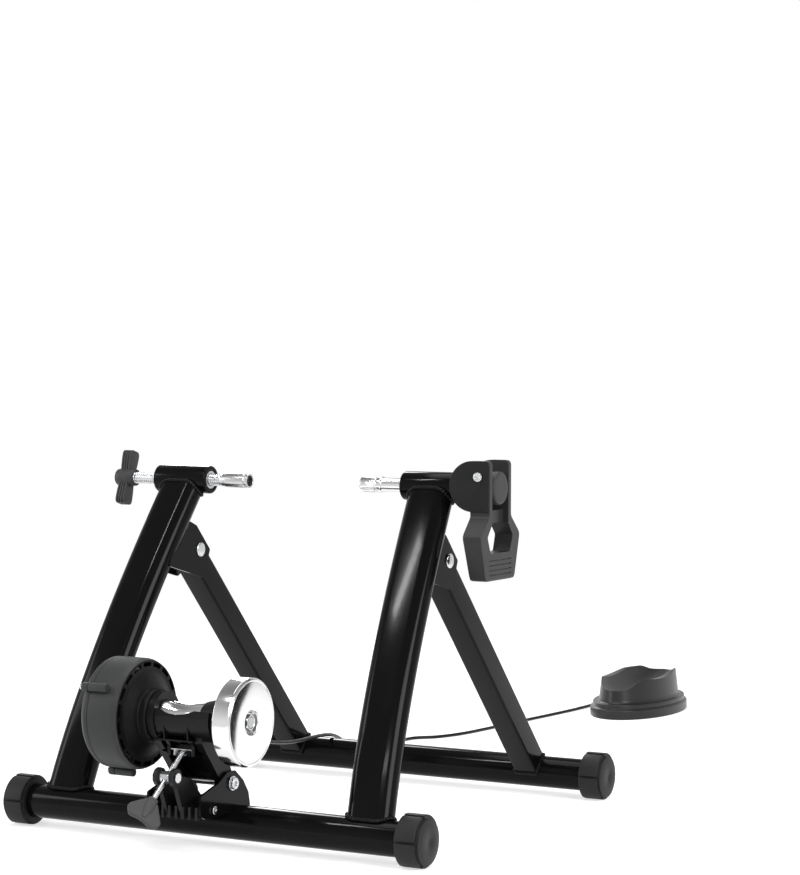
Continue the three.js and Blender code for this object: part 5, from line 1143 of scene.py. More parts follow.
@dataclass
class LeftClamp:
    """The knob, threaded spindle and cup that push on the left end of the axle."""

    stand: Stand
    head_corner: float = 1.6
    bush_radius: float = 10.5
    spindle_radius: float = 7.15
    spindle_step: float = 0.22
    spindle_chamfer: float = 0.8
    spindle_end_inset: float = 0.6
    tip_radius: float = 4.0
    tip_length: float = 11.7
    thread_pitch: float = 3.0
    thread_depth: float = 0.75
    cup_radius: float = 8.75
    cup_inner_x: float = 77.0
    cup_outer_x: float = 113.0
    recess_radius: float = 6.4
    recess_depth: float = 12.0
    lip: float = 3.4
    lip_inset: float = 0.4
    groove_end: float = 5.0
    groove_depth: float = 1.0
    slope: float = 0.4
    tail: float = 4.2
    tail_inset: float = 0.7
    knurls: int = 40
    knurl_depth: float = 0.45
    knurl_start: float = 1.0
    knurl_inset: float = 0.8
    knob_x: float = 251.5
    knob_hub: float = 11.0
    knob_hub_length: float = 27.0
    knob_span: float = 66.0
    knob_width: float = 19.0
    knob_waist: float = 13.0
    knob_thickness: float = 12.0
    knob_groove: float = 1.1
    knob_layers: int = 4
    knob_flare_share: float = 0.62
    knob_core_inset: float = 1.2
    knob_core_step: float = 0.5
    knob_rim: float = 0.7
    knob_round: float = 9.0
    knob_tip_round: float = 7.0
    hub_face_radius: float = 5.5
    hub_edge_radius: float = 6.2
    hub_chamfer: float = 1.2
    hub_round: float = 0.9
    knob_tilt: float = math.radians(-16)

    def axis(self) -> Axis:
        """The clamped axle's line, which runs towards the left."""
        return Axis((0, 0, self.stand.axle_z), (-1, 0, 0), (0, 1, 0))

    def head(self) -> None:
        """The welded head tube, bored for the bush."""
        bore = self.bush_radius + self.stand.clearance
        low, high = self.stand.head_inner_x, self.stand.head_outer_x
        profile = bar(low, high, self.stand.head_radius, self.head_corner, bore)
        Shape(self.stand).lathe(profile, self.axis(), closed=True).build(
            "left_head_tube_painted", PAINT, "rear_stand", ("left_head_tube",))

    def spindle(self) -> None:
        """The spindle, threaded over its whole length but for its tip in the cup."""
        shoulder = self.cup_outer_x + self.stand.clearance
        tip = shoulder - self.tip_length
        rows = np.arange(shoulder + self.spindle_chamfer, self.knob_x, self.spindle_step)
        core = self.spindle_radius - self.spindle_chamfer
        profile = np.concatenate([
            [[tip, 0], [tip, self.tip_radius], [shoulder, self.tip_radius], [shoulder, core]],
            np.stack([rows, np.full(len(rows), self.spindle_radius)], axis=1),
            [[self.knob_x, self.spindle_radius - self.spindle_end_inset], [self.knob_x, 0]],
        ])
        worm = thread(self.thread_pitch, self.thread_depth, shoulder + 1, self.knob_x)
        Shape(self.stand).lathe(profile, self.axis(), steps=36, swell=worm).build(
            "left_spindle_threaded", ZINC, "left_screw", ("left_spindle",), smooth=60)

    def cup(self) -> None:
        """The cup: a knurled sleeve with a lip and a recess for the axle's end."""
        low, high = self.cup_inner_x, self.cup_outer_x
        r = self.cup_radius
        recess = low + self.recess_depth
        hole = self.tip_radius + self.stand.clearance
        lip, groove, tail = low + self.lip, low + self.groove_end, high - self.tail
        profile = rounded([
            [recess, 0], [recess, self.recess_radius], [low, self.recess_radius], [low, r - self.lip_inset],
            [lip, r - self.lip_inset], [lip + self.slope, r - self.groove_depth],
            [groove, r - self.groove_depth], [groove + self.slope, r],
            [tail - self.slope, r], [tail, r - self.tail_inset], [high, r - self.tail_inset], [high, hole],
            [high - self.recess_depth, hole], [high - self.recess_depth, 0],
        ], 0.5)
        knurl = flutes(self.knurls, self.knurl_depth, groove + self.knurl_start, tail - self.knurl_inset)
        Shape(self.stand).lathe(profile, self.axis(), steps=240, swell=knurl).build(
            "left_cup_turned", STEEL, "left_cup", ("left_cup",), smooth=50)

    def wings(self, reach: float) -> Points:
        """The knob's two wings, which flare from a waist to rounded ends, moved outward by reach."""
        tip, waist, wide = self.knob_span / 2, self.knob_waist / 2, self.knob_width / 2
        flare = tip * self.knob_flare_share
        corners = [
            [-waist, 0], [-wide, -flare], [-wide, -tip], [wide, -tip], [wide, -flare], [waist, 0],
            [wide, flare], [wide, tip], [-wide, tip], [-wide, flare],
        ]
        bend, end = self.knob_round, self.knob_tip_round
        cuts = [self.knob_waist, bend, end, end, bend] * 2
        line = rounded(corners, cuts, 7, closed=True)
        turn = np.array([[math.cos(self.knob_tilt), math.sin(self.knob_tilt)],
                         [-math.sin(self.knob_tilt), math.cos(self.knob_tilt)]])
        return grown(anticlockwise(line), reach) @ turn

    def knob(self) -> None:
        """The knob: layers like stacked plates, parted by grooves, on a turned hub."""
        s = self.stand
        axis = Axis((-self.knob_x, 0, s.axle_z))
        half = self.knob_thickness / 2
        groove = self.knob_groove
        layer = (self.knob_thickness - (self.knob_layers - 1) * groove) / self.knob_layers
        core = half - self.knob_core_step
        shape = Shape(s).plate(self.wings(-self.knob_core_inset * groove), -core, core, 0.3, axis)
        for k in range(self.knob_layers):
            low = -half + k * (layer + groove)
            shape.plate(self.wings(0), low, low + layer, self.knob_rim, axis)
        hub = self.knob_hub_length / 2
        bore = self.spindle_radius + s.clearance
        edge, face = self.knob_hub - self.hub_chamfer, -hub + self.hub_chamfer
        profile = rounded([
            [-hub, 0], [-hub, self.hub_face_radius], [face, self.hub_edge_radius], [face, edge],
            [-half, self.knob_hub], [half, self.knob_hub], [hub, edge], [hub, bore], [0, bore], [0, 0],
        ], self.hub_round)
        shape.lathe(profile, axis, steps=64)
        shape.build("left_knob_moulded", KNOB_GREY, "left_screw", ("left_knob",), smooth=40)

    def build(self) -> None:
        """Makes the left clamp."""
        self.head()
        self.spindle()
        self.cup()
        self.knob()
        self.stand.dress("left_thread_bush", STEEL)


@dataclass
class RightClamp:
    """The spring plunger, its head tube, the lever's housing, the cam lever and its pin."""

    stand: Stand
    end_wall: float = 11.0
    cavity_radius: float = 12.5
    plunger_radius: float = 8.25
    neck_radius: float = 6.0
    cup_radius: float = 9.75
    cup_inner_x: float = 75.0
    cup_outer_x: float = 103.0
    cup_chamfer: float = 1.4
    cup_bevel: float = 1.6
    cup_length: float = 19.6
    cup_end_inset: float = 1.0
    groove_depth: float = 0.9
    groove_slope: float = 0.4
    ring_gap: float = 1.6
    ring_offset: float = 2.0
    ring_length: float = 5.2
    ring_inset: float = 0.2
    splines: int = 26
    spline_depth: float = 0.7
    spline_start: float = 2.4
    spline_inset: float = 0.2
    collar_gap: float = 0.8
    recess_radius: float = 6.4
    recess_depth: float = 12.0
    collar_x: float = 160.0
    collar_length: float = 4.0
    end_x: float = 235.0
    housing_radius: float = 18.5
    housing_end_x: float = 252.0
    housing_wall: float = 5.0
    pin_x: float = 238.0
    pin_z: float = 401.6
    pin_radius: float = 3.5
    pin_head_radius: float = 5.2
    pin_head: float = 2.6
    pin_socket: float = 2.3
    pin_socket_depth: float = 1.7
    half_width: float = 27.0
    plate_thickness: float = 2.6
    cheek_radius: float = 28.3
    cheek_x: float = 230.0
    cheek_z: float = 391.0
    front_x: float = 251.0
    front_corner: float = 6.0

    def axis(self) -> Axis:
        """The clamped axle's line, which runs towards the right."""
        return Axis((0, 0, self.stand.axle_z))

    def head(self) -> None:
        """The welded head tube, with the spring's cavity in it."""
        bore = self.plunger_radius + self.stand.clearance
        low, high, radius = self.stand.head_inner_x, self.stand.head_outer_x, self.stand.head_radius
        left, right = low + self.end_wall, high - self.end_wall
        profile = rounded([
            [low, bore], [low, radius], [high, radius], [high, bore],
            [right, bore], [right, self.cavity_radius], [left, self.cavity_radius], [left, bore],
        ], [1.2, 1.6, 1.2, 0.6, 0.3, 0.3, 0.3, 0.3], closed=True)
        Shape(self.stand).lathe(profile, self.axis(), closed=True).build(
            "right_head_tube_painted", PAINT, "rear_stand", ("right_head_tube",))

    def plunger(self) -> None:
        """The plunger and its cup, splined lengthwise, with a stepped collar behind the splines."""
        low, high, r = self.cup_inner_x, self.cup_outer_x, self.cup_radius
        recess = low + self.recess_depth
        wall = self.stand.head_inner_x + self.end_wall
        collar = self.cavity_radius - self.collar_gap
        collar_end = self.collar_x + self.collar_length
        end = low + self.cup_length
        groove, band, start = r - self.groove_depth, r - self.ring_inset, end + self.ring_offset
        profile = rounded([
            [recess, 0], [recess, self.recess_radius], [low, self.recess_radius], [low, r - self.cup_chamfer],
            [low + self.cup_bevel, r], [end, r], [end + self.groove_slope, groove],
            [end + self.ring_gap, groove], [start, band], [start + self.ring_length, band],
            [high, r - self.cup_end_inset], [high, self.plunger_radius],
            [wall, self.plunger_radius], [wall, self.neck_radius], [self.collar_x, self.neck_radius],
            [self.collar_x, collar], [collar_end, collar], [collar_end, self.plunger_radius],
            [self.end_x, self.plunger_radius], [self.end_x, 0],
        ], 0.4)
        first, last = low + self.spline_start, end - self.spline_inset
        splines = flutes(self.splines, self.spline_depth, first, last)
        Shape(self.stand).lathe(profile, self.axis(), steps=208, swell=splines).build(
            "right_plunger_polished", POLISHED, "right_plunger", ("right_plunger",), smooth=50)

    def housing(self) -> None:
        """The round black housing, whose flat cap shows between the lever's cheeks."""
        low, high = self.stand.head_outer_x + self.stand.clearance, self.housing_end_x
        bore = self.plunger_radius + self.stand.clearance
        profile = rounded([
            [low, bore], [low, self.stand.head_radius], [low + 1.4, self.housing_radius],
            [high, self.housing_radius], [high, self.housing_radius / 2], [high, 0.0],
        ], [0.3, 1, 1, 3, 0, 0])
        inside = [[high - self.housing_wall, 0.0], [high - self.housing_wall, bore], [low, bore]]
        shape = Shape(self.stand).lathe(np.concatenate([inside, profile]), self.axis())
        shape.build("lever_housing_moulded", KNOB_GREY, "rear_stand", ("lever_housing",), smooth=40)

    def cheek(self) -> Points:
        """The D shape: a half disc at the back and a square front with a rounded upper corner."""
        arc = ring(self.cheek_radius, 60, FULL / 4, FULL * 3 / 4) + [self.cheek_x, self.cheek_z]
        low, high = self.cheek_z - self.cheek_radius, self.cheek_z + self.cheek_radius
        line = np.concatenate([arc, [[self.front_x, low], [self.front_x, high]]])
        cuts = np.zeros(len(line))
        cuts[-2], cuts[-1] = 1.2, self.front_corner
        return rounded(line.tolist(), cuts.tolist(), 6, closed=True)

    def side_plate(self) -> None:
        """The dark plate on the lever's rear cheek."""
        outer = self.half_width + self.stand.clearance
        axis = Axis((0, 0, 0), (0, -1, 0), (1, 0, 0))
        hole = ring(self.pin_radius + self.stand.clearance, 32) + [self.pin_x, self.pin_z]
        Shape(self.stand).plate(
            self.cheek(), outer, outer + self.plate_thickness, 0.8, axis, [hole], 4,
        ).build("lever_side_plate_moulded", PLATE_GREY, "clamp_lever", ("lever_side_plate",), smooth=40)

    def pin(self) -> None:
        """The lever's pin: a shank and two button heads, the rear one with a socket."""
        s = self.stand
        near = self.half_width + 2 * s.clearance + self.plate_thickness
        far = self.half_width + s.clearance
        rear = Axis((self.pin_x, -near, self.pin_z), (0, -1, 0), (1, 0, 0))
        front = Axis((self.pin_x, far, self.pin_z), (0, 1, 0), (0, 0, 1))
        head = SocketHead(self.pin_head_radius, self.pin_head, self.pin_socket, self.pin_socket_depth)
        shape = head.shape(s, rear)
        shape.lathe(bar(0, self.pin_head, self.pin_head_radius, 1.1), front, steps=48)
        shank = Axis((self.pin_x, -near, self.pin_z), (0, 1, 0), (0, 0, 1))
        shape.lathe(bar(0, near + far, self.pin_radius), shank, steps=32)
        shape.build("lever_pin_plated", ZINC, "clamp_lever", ("lever_pin",), smooth=35)

    def build(self) -> None:
        """Makes the right clamp."""
        self.head()
        self.plunger()
        self.housing()
        self.side_plate()
        self.pin()
        self.stand.polished("clamp_lever", LEVER_GREY, "clamp_lever", 0.9)
        self.stand.dress("plunger_spring", STEEL)


@dataclass
class Rotor:
    """The roller on the tyre, the flywheel and what else turns with the shaft."""

    stand: Stand
    shaft_radius: float = 6.0
    roller_corner: float = 0.5
    roller_left_x: float = -27.0
    roller_right_x: float = 25.0
    roller_end_radius: float = 17.5
    roller_waist_radius: float = 14.8
    wheel_radius: float = 47.5
    wheel_inner_x: float = 59.0
    wheel_outer_x: float = 80.0
    recess_radius: float = 13.0
    recess_depth: float = 6.0
    nut_flat: float = 7.9
    nut_radius: float = 9.0
    nut_thickness: float = 5.0
    rim_bevel: float = 1.8
    back_bevel: float = 1.4
    line_depth: float = 0.35
    line_inset: float = 3.4
    line_width: float = 1.1
    line_slope: float = 0.2
    recess_bevel: float = 0.8
    seat: float = 0.6
    seat_inset: float = 0.2
    seat_step: float = 0.01
    nut_chamfer: float = 1.0
    bore_chamfer: float = 0.5

    def roller(self) -> None:
        """The waisted roller: radius = end - (end - waist) sin(along)."""
        low, high = self.roller_left_x, self.roller_right_x
        t = np.linspace(0, 1, 60)
        end, corner = self.roller_end_radius, self.roller_corner
        radius = end - (end - self.roller_waist_radius) * np.sin(math.pi * t)
        curve = np.stack([low + corner + (high - low - 2 * corner) * t, radius], axis=1)
        bore = self.shaft_radius + self.stand.clearance
        profile = np.concatenate([
            [[low, bore], [low, end - corner]], curve, [[high, end - corner], [high, bore]],
        ])
        Shape(self.stand).lathe(profile, self.stand.shaft_axis(), steps=128, closed=True).build(
            "roller_polished", POLISHED, "rotor", ("roller",))

    def flywheel(self) -> None:
        """The flywheel: a thick disc with a bevelled rim, a shallow ring line and a recess for the nut."""
        low, high, r = self.wheel_inner_x, self.wheel_outer_x, self.wheel_radius
        bore = self.shaft_radius + self.stand.clearance
        face = self.wheel_outer_x - self.recess_depth
        back, edge, line, slope = self.back_bevel, self.rim_bevel, high - self.line_depth, self.line_slope
        near = r - self.line_inset
        far = near - self.line_width
        profile = rounded([
            [low, bore], [low, r - back], [low + back, r], [high - edge, r], [high, r - edge],
            [high, near], [line, near - slope], [line, far + slope], [high, far],
            [high, self.recess_radius + self.recess_bevel], [high - self.recess_bevel, self.recess_radius],
            [face, self.recess_radius], [face, bore],
        ], 0.35, closed=True)
        Shape(self.stand).lathe(profile, self.stand.shaft_axis(), steps=192, closed=True).build(
            "flywheel_chromed", CHROME, "rotor", ("flywheel",), smooth=28)

    def nut(self) -> None:
        """The hexagon nut in the recess, chamfered, on a thin washer face."""
        low = self.wheel_outer_x - self.recess_depth + self.stand.clearance
        high = low + self.nut_thickness
        bore = self.shaft_radius + self.stand.clearance
        seat, rim = low + self.seat, self.nut_radius - self.seat_inset
        profile = np.array([
            [low, bore], [low, rim], [seat, rim], [seat + self.seat_step, self.nut_radius],
            [high - self.nut_chamfer, self.nut_radius], [high, self.nut_flat],
            [high, bore + self.bore_chamfer], [high - self.bore_chamfer, bore],
        ])

        def hexed(s: Points, angle: Points, radius: Points) -> Points:
            """Six flats above the washer face only."""
            six = hexagon(self.nut_flat)(s, angle, radius)
            return np.where(s > seat + self.seat_step / 2, six, radius)

        Shape(self.stand).lathe(profile, self.stand.shaft_axis(), swell=hexed, closed=True).build(
            "flywheel_nut_plated", ZINC, "rotor", ("flywheel_nut",), smooth=25)

    def build(self) -> None:
        """Makes what turns with the shaft."""
        self.roller()
        self.flywheel()
        self.nut()
        self.stand.dress("unit_shaft", STEEL)
        self.stand.dress("drum_rotor", ALUMINIUM)


@dataclass
class Drum:
    """The drum: a shell with vents and a boss, its cover, and what they hold."""

    stand: Stand
    radius: float = 60.5
    wall: float = 2.5
    cover_wall: float = 2.25
    inner_x: float = -53.0
    seam_x: float = -90.0
    outer_x: float = -101.0
    seam: float = 0.5
    edge: float = 5.0
    lip: float = 0.5
    boss_radius: float = 29.0
    boss_face: float = 6.0
    boss_dish: float = 1.2
    boss_slope: float = 2.0
    cone_foot: float = 5.0
    vent_gap: float = 0.2
    boss_x: float = -37.0
    cone_x: float = -46.0
    cone_radius: float = 47.0
    hole_radius: float = 6.8
    vents: int = 18
    vent_radius: float = 54.0
    vent_length: float = 13.0
    vent_width: float = 4.6
    lug_radius: float = 4.7
    lug_reach: float = 64.5
    lug_inner_x: float = -67.0
    lug_angles: tuple = (-94.0, 149.0, 30.0)
    lug_corner: float = 1.0
    steps_per_vent: int = 16
    ribs: int = 12
    rib_start: float = 23.0
    rib_end: float = 41.0
    rib_half_width: float = 1.0
    rib_foot: float = 0.15
    rib_top: float = 1.6
    dish_outer: float = 43.0
    dish_inner: float = 21.0
    dish_depth: float = 0.9
    face_depth: float = 1.6
    sample_faces: int = 400
    boot_length: float = 16.0
    boot_radius: float = 5.0
    boot_tip: float = 3.45
    boot_ribs: int = 4
    boot_rib_start: float = 0.25
    boot_rib_share: float = 0.7
    boot_rib_depth: float = 0.55
    boot_bore: float = 1.2
    boot_bore_depth: float = 6.0
    screw_head: float = 3.4
    screw_head_height: float = 2.2
    screw_socket: float = 1.5
    screw_socket_depth: float = 1.3
    screw_radius: float = 1.8
    screw_length: float = 24.0
    screw_tip_radius: float = 0.6
    screw_tip_length: float = 2.5

    def lug_place(self, k: int) -> tuple:
        """A lug's (y, z)."""
        angle = math.radians(self.lug_angles[k])
        s = self.stand
        return (s.shaft_y + self.lug_reach * math.cos(angle), s.shaft_z + self.lug_reach * math.sin(angle))

    def lugs(self, shape: Shape, low: float, high: float) -> None:
        """Adds the screw lugs along the shell's rim."""
        for k in range(len(self.lug_angles)):
            profile = bar(low, high, self.lug_radius, self.lug_corner)
            shape.lathe(profile, Axis((0, *self.lug_place(k))), steps=32)

    def shell(self) -> None:
        """The shell: one turned skin with its vents left open, thickened inward."""
        vent_low = self.vent_radius - self.vent_width / 2
        vent_high = self.vent_radius + self.vent_width / 2
        x, edge = self.inner_x, self.edge
        outer = rounded([
            [self.seam_x, self.radius - self.lip], [self.seam_x, self.radius],
            [x - edge, self.radius], [x, self.radius - edge / 2], [x, vent_high + self.vent_gap],
        ], [0, 0.5, 5, 3, 0], 5)
        face = np.array([[x, vent_high], [x, (vent_low + vent_high) / 2], [x, vent_low]])
        cone, boss, r = self.cone_x, self.boss_x, self.boss_radius
        dish, rim = boss - self.boss_dish, r - self.boss_face
        inner = rounded([
            [x, vent_low - self.vent_gap], [x, self.cone_radius], [cone - 1, r + self.cone_foot], [cone, r],
            [boss, r], [boss, rim], [dish, rim - self.boss_slope], [dish, self.hole_radius],
        ], [0, 4, 3, 1.5, 2.2, 1, 1, 0], 5)
        profile = np.concatenate([outer, face, inner])
        share = 360 / self.vents
        count = self.vents * self.steps_per_vent
        grid = turned(profile, self.stand.shaft_axis(), count)
        rows = np.arange(len(profile) - 1)
        first = len(outer)
        in_face = (rows >= first) & (rows < first + 2)
        angle = (np.arange(count) + 0.5) / self.steps_per_vent * share % share
        half = math.degrees(self.vent_length / (2 * self.vent_radius))
        in_vent = np.abs(angle - share / 2) < half
        keep = ~(in_face[:, None] & in_vent[None, :])
        shape = Shape(self.stand).grid(grid, keep=keep)
        name = "drum_housing_moulded"
        piece = shape.build(name, DRUM_GREY, "resistance_unit", ("drum_housing",), fix=False)
        self.walled(piece, self.wall)
        self.darken(piece)
        sharpened(piece, degrees=30)
        lugs = Shape(self.stand)
        self.lugs(lugs, self.seam_x, self.lug_inner_x)
        lugs.build("drum_housing_lugs", DRUM_GREY, "resistance_unit", smooth=40)

    def walled(self, piece: Piece, thickness: float) -> None:
        """Turns an open skin's faces away from the shaft's line and gives it a wall, laid inward.

        The first faces tell whether the skin has to be turned.
        """
        work = bmesh.new()
        work.from_mesh(piece.data)
        work.normal_update()
        middle = self.stand.metres(self.stand.shaft_axis().origin)
        score = 0.0
        for face in work.faces[: self.sample_faces]:
            centre = face.calc_center_median()
            away = Vector((0, centre.y - middle[1], centre.z - middle[2]))
            score += face.normal.dot(away)
        if score < 0:
            bmesh.ops.reverse_faces(work, faces=work.faces[:])
        work.to_mesh(piece.data)
        work.free()
        shell = piece.modifiers.new("wall", "SOLIDIFY")
        shell.thickness = thickness * MM
        shell.offset = -1
        applied(piece)

    def darken(self, piece: Piece) -> None:
        """Gives the inboard face, beyond the shell's rounded edge, the darker finish."""
        mesh = piece.data
        mesh.materials.append(DRUM_FACE.material(self.stand.effects))
        centres = np.zeros(len(mesh.polygons) * 3)
        mesh.polygons.foreach_get("center", centres)
        x = centres.reshape(-1, 3)[:, 0]
        chosen = (x > (self.inner_x - self.face_depth) * MM).astype(np.int32)
        mesh.polygons.foreach_set("material_index", chosen)

    def cover(self) -> None:
        """The cover: a shallow dish whose rim meets the shell at the seam, with ring steps and ribs."""
        low, r = self.outer_x, self.radius
        rim = self.seam_x - self.seam
        dish = low + self.dish_depth
        profile = rounded([
            [rim, r - self.lip], [rim, r], [low + self.edge, r], [low, r - self.edge],
            [low, self.dish_outer + 1],
            [dish, self.dish_outer], [dish, self.dish_inner], [low, self.dish_inner - 1], [low, 0.0],
        ], [0, 0.5, 3, 3, 0.6, 0.6, 0.6, 0.6, 0], 5)
        shape = Shape(self.stand).grid(turned(profile, self.stand.shaft_axis(), steps=144))
        piece = shape.build("drum_cover_moulded", DRUM_GREY, "resistance_unit", ("drum_cover",), fix=False)
        self.walled(piece, self.cover_wall)
        sharpened(piece, degrees=30)
        ribs = Shape(self.stand)
        self.lugs(ribs, self.outer_x + self.edge / 2, rim)
        for way in ring(1, self.ribs):
            cross = self.rib_half_width * np.array([-way[1], way[0]])
            start, end = way * self.rib_start, way * self.rib_end
            outline = rounded([start - cross, end - cross, end + cross, start + cross], 0.9, 3, closed=True)
            ribs.plate(outline, low + self.rib_foot, low + self.rib_top, 0.5, self.stand.shaft_axis())
        ribs.build("drum_cover_ribs", DRUM_GREY, "resistance_unit", smooth=40)

    def screws(self) -> None:
        """The three cover screws, with sockets in their heads."""
        head = SocketHead(self.screw_head, self.screw_head_height, self.screw_socket, self.screw_socket_depth)
        end, tip, wide = -self.screw_length, -self.screw_length - self.screw_tip_length, self.screw_radius
        shank = np.array([[0, 0], [0, wide], [end, wide], [tip, self.screw_tip_radius], [tip, 0]])
        for k, place in enumerate(("bottom", "rear", "front")):
            seat = self.outer_x + self.edge / 2 - self.stand.clearance
            axis = Axis((seat, *self.lug_place(k)), (-1, 0, 0), (0, 1, 0))
            shape = head.shape(self.stand, axis)
            shape.lathe(shank, axis, steps=24)
            shape.build(f"drum_screw_{place}_plated", ZINC, "resistance_unit", (f"drum_screw_{place}",))

    def boot(self) -> None:
        """The cable's ribbed boot: a taper less rib depth times |sin| along it."""
        low, _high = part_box("cable_boot")
        start = low[1] / MM - self.stand.shift[1]
        t = np.linspace(0, 1, 70)
        radius = self.boot_radius + (self.boot_tip - self.boot_radius) * t
        first, share = self.boot_rib_start, self.boot_rib_share
        ribs = np.abs(np.sin(math.pi * self.boot_ribs * np.clip((t - first) / share, 0, 1)))
        curve = np.stack([self.boot_length * t, radius - self.boot_rib_depth * ribs], axis=1)
        bottom = self.boot_length - self.boot_bore_depth
        bore = [[self.boot_length, self.boot_bore], [bottom, self.boot_bore], [bottom, 0]]
        profile = np.concatenate([[[0, 0]], curve, bore])
        axis = Axis((self.stand.cable_x, start, self.stand.cable_z), (0, 1, 0), (0, 0, 1))
        Shape(self.stand).lathe(profile, axis, steps=40).build(
            "cable_boot_rubber", RUBBER, "resistance_unit", ("cable_boot",), smooth=60)

    def build(self) -> None:
        """Makes the drum."""
        self.shell()
        self.cover()
        self.screws()
        self.boot()
        self.stand.dress("magnet_carrier", MAGNET)


@dataclass
class UnitMount:
    """The yoke, the bracket on the rear tube, the finned base and their bolts."""

    stand: Stand
    pivot_y: float = -210.0
    pivot_z: float = 71.5
    base_y: float = -247.0
    base_z: float = 48.0
    left_x: float = -37.6
    right_x: float = 31.6
    pivot_radius: float = 4.0
    washer_radius: float = 8.0
    washer: float = 1.5
    head_radius: float = 6.5
    head: float = 3.2
    base_radius: float = 3.0
    base_head_radius: float = 4.4
    base_head: float = 2.4
    pivot_socket: float = 2.6
    pivot_socket_depth: float = 2.0
    base_socket: float = 1.7
    base_socket_depth: float = 1.4
    bolt_tail: float = 8.0
    web_foot: tuple = (-199.5, 74.5)
    web_head: tuple = (-229.0, 126.5)
    web_sides: tuple = (-33.0, 27.0)
    web_thickness: float = 3.0
    rib_outline: tuple = (
        (-272.6, 142.0), (-271.2, 142.0), (-268.5, 134.0), (-263.7, 128.0), (-257.5, 124.0), (-270.5, 124.0),
    )
    rib_places: tuple = (-17.0, 13.0)
    rib_thickness: float = 1.6
    shelf_sides: tuple = (-29.0, 20.0)

    def web(self) -> None:
        """The yoke's web between its two arms, and the thin ribs behind its trough."""
        foot, head = np.array(self.web_foot), np.array(self.web_head)
        way = unit(head - foot)
        back = self.web_thickness * np.array([-way[1], way[0]])
        shape = Shape(self.stand)
        axis = Axis((0, 0, 0))
        shape.plate(np.array([foot, head, head + back, foot + back]), *self.web_sides, 0.5, axis)
        for x in self.rib_places:
            shape.plate(np.array(self.rib_outline), x, x + self.rib_thickness, 0.3, axis)
        (rear, low), front = self.rib_outline[-1], self.rib_outline[-2][0]
        floor = low - self.rib_thickness
        shelf = np.array([[rear, floor], [front, floor], [front, low], [rear, low]])
        shape.plate(shelf, *self.shelf_sides, 0.3, axis)
        shape.build("yoke_web_moulded", GLOSS_BLACK, "resistance_unit")

    def pivot_bolt(self) -> None:
        """The yoke's pivot bolt: a shank, a washer and a socket head."""
        s = self.stand
        face = self.right_x + s.clearance
        axis = Axis((face + self.washer, self.pivot_y, self.pivot_z))
        head = SocketHead(self.head_radius, self.head, self.pivot_socket, self.pivot_socket_depth)
        shape = head.shape(s, axis)
        shape.lathe(bar(-self.washer, 0, self.washer_radius, 0.5), axis, steps=48)
        reach = face - self.left_x + self.bolt_tail
        radius, back = self.pivot_radius, -self.washer
        shank = [[-reach, 0], [-reach, radius - 0.5], [0.6 - reach, radius], [back, radius], [back, 0]]
        shape.lathe(np.array(shank), axis, steps=32)
        shape.build("yoke_pivot_bolt_plated", ZINC, "rear_stand", ("yoke_pivot_bolt",))

    def base_bolt(self) -> None:
        """The base's cross bolt, with a button head at each end."""
        s = self.stand
        right = Axis((self.right_x + s.clearance, self.base_y, self.base_z))
        left = Axis((self.left_x - s.clearance, self.base_y, self.base_z), (-1, 0, 0), (0, 1, 0))
        head = SocketHead(self.base_head_radius, self.base_head, self.base_socket, self.base_socket_depth)
        shape = head.shape(s, right)
        shape.lathe(bar(0, self.base_head, self.base_head_radius, 1.2), left, steps=40)
        reach = self.right_x - self.left_x + 2 * s.clearance
        shape.lathe(bar(-reach, 0, self.base_radius), right, steps=24)
        shape.build("base_bolt_plated", ZINC, "rear_stand", ("base_bolt",))

    def build(self) -> None:
        """Makes the yoke, bracket, base and bolts."""
        s = self.stand
        s.polished("yoke", GLOSS_BLACK, "resistance_unit", 0.5)
        self.web()
        s.polished("unit_bracket", PAINT, "rear_stand", 0.5)
        s.polished("unit_base", BASE_BLACK, "rear_stand", 0.4)
        s.polished("yoke_pivot_nut", ZINC, "rear_stand", 0.5)
        self.pivot_bolt()
        self.base_bolt()
        s.dress("left_bearing", STEEL)
        s.dress("right_bearing", STEEL)


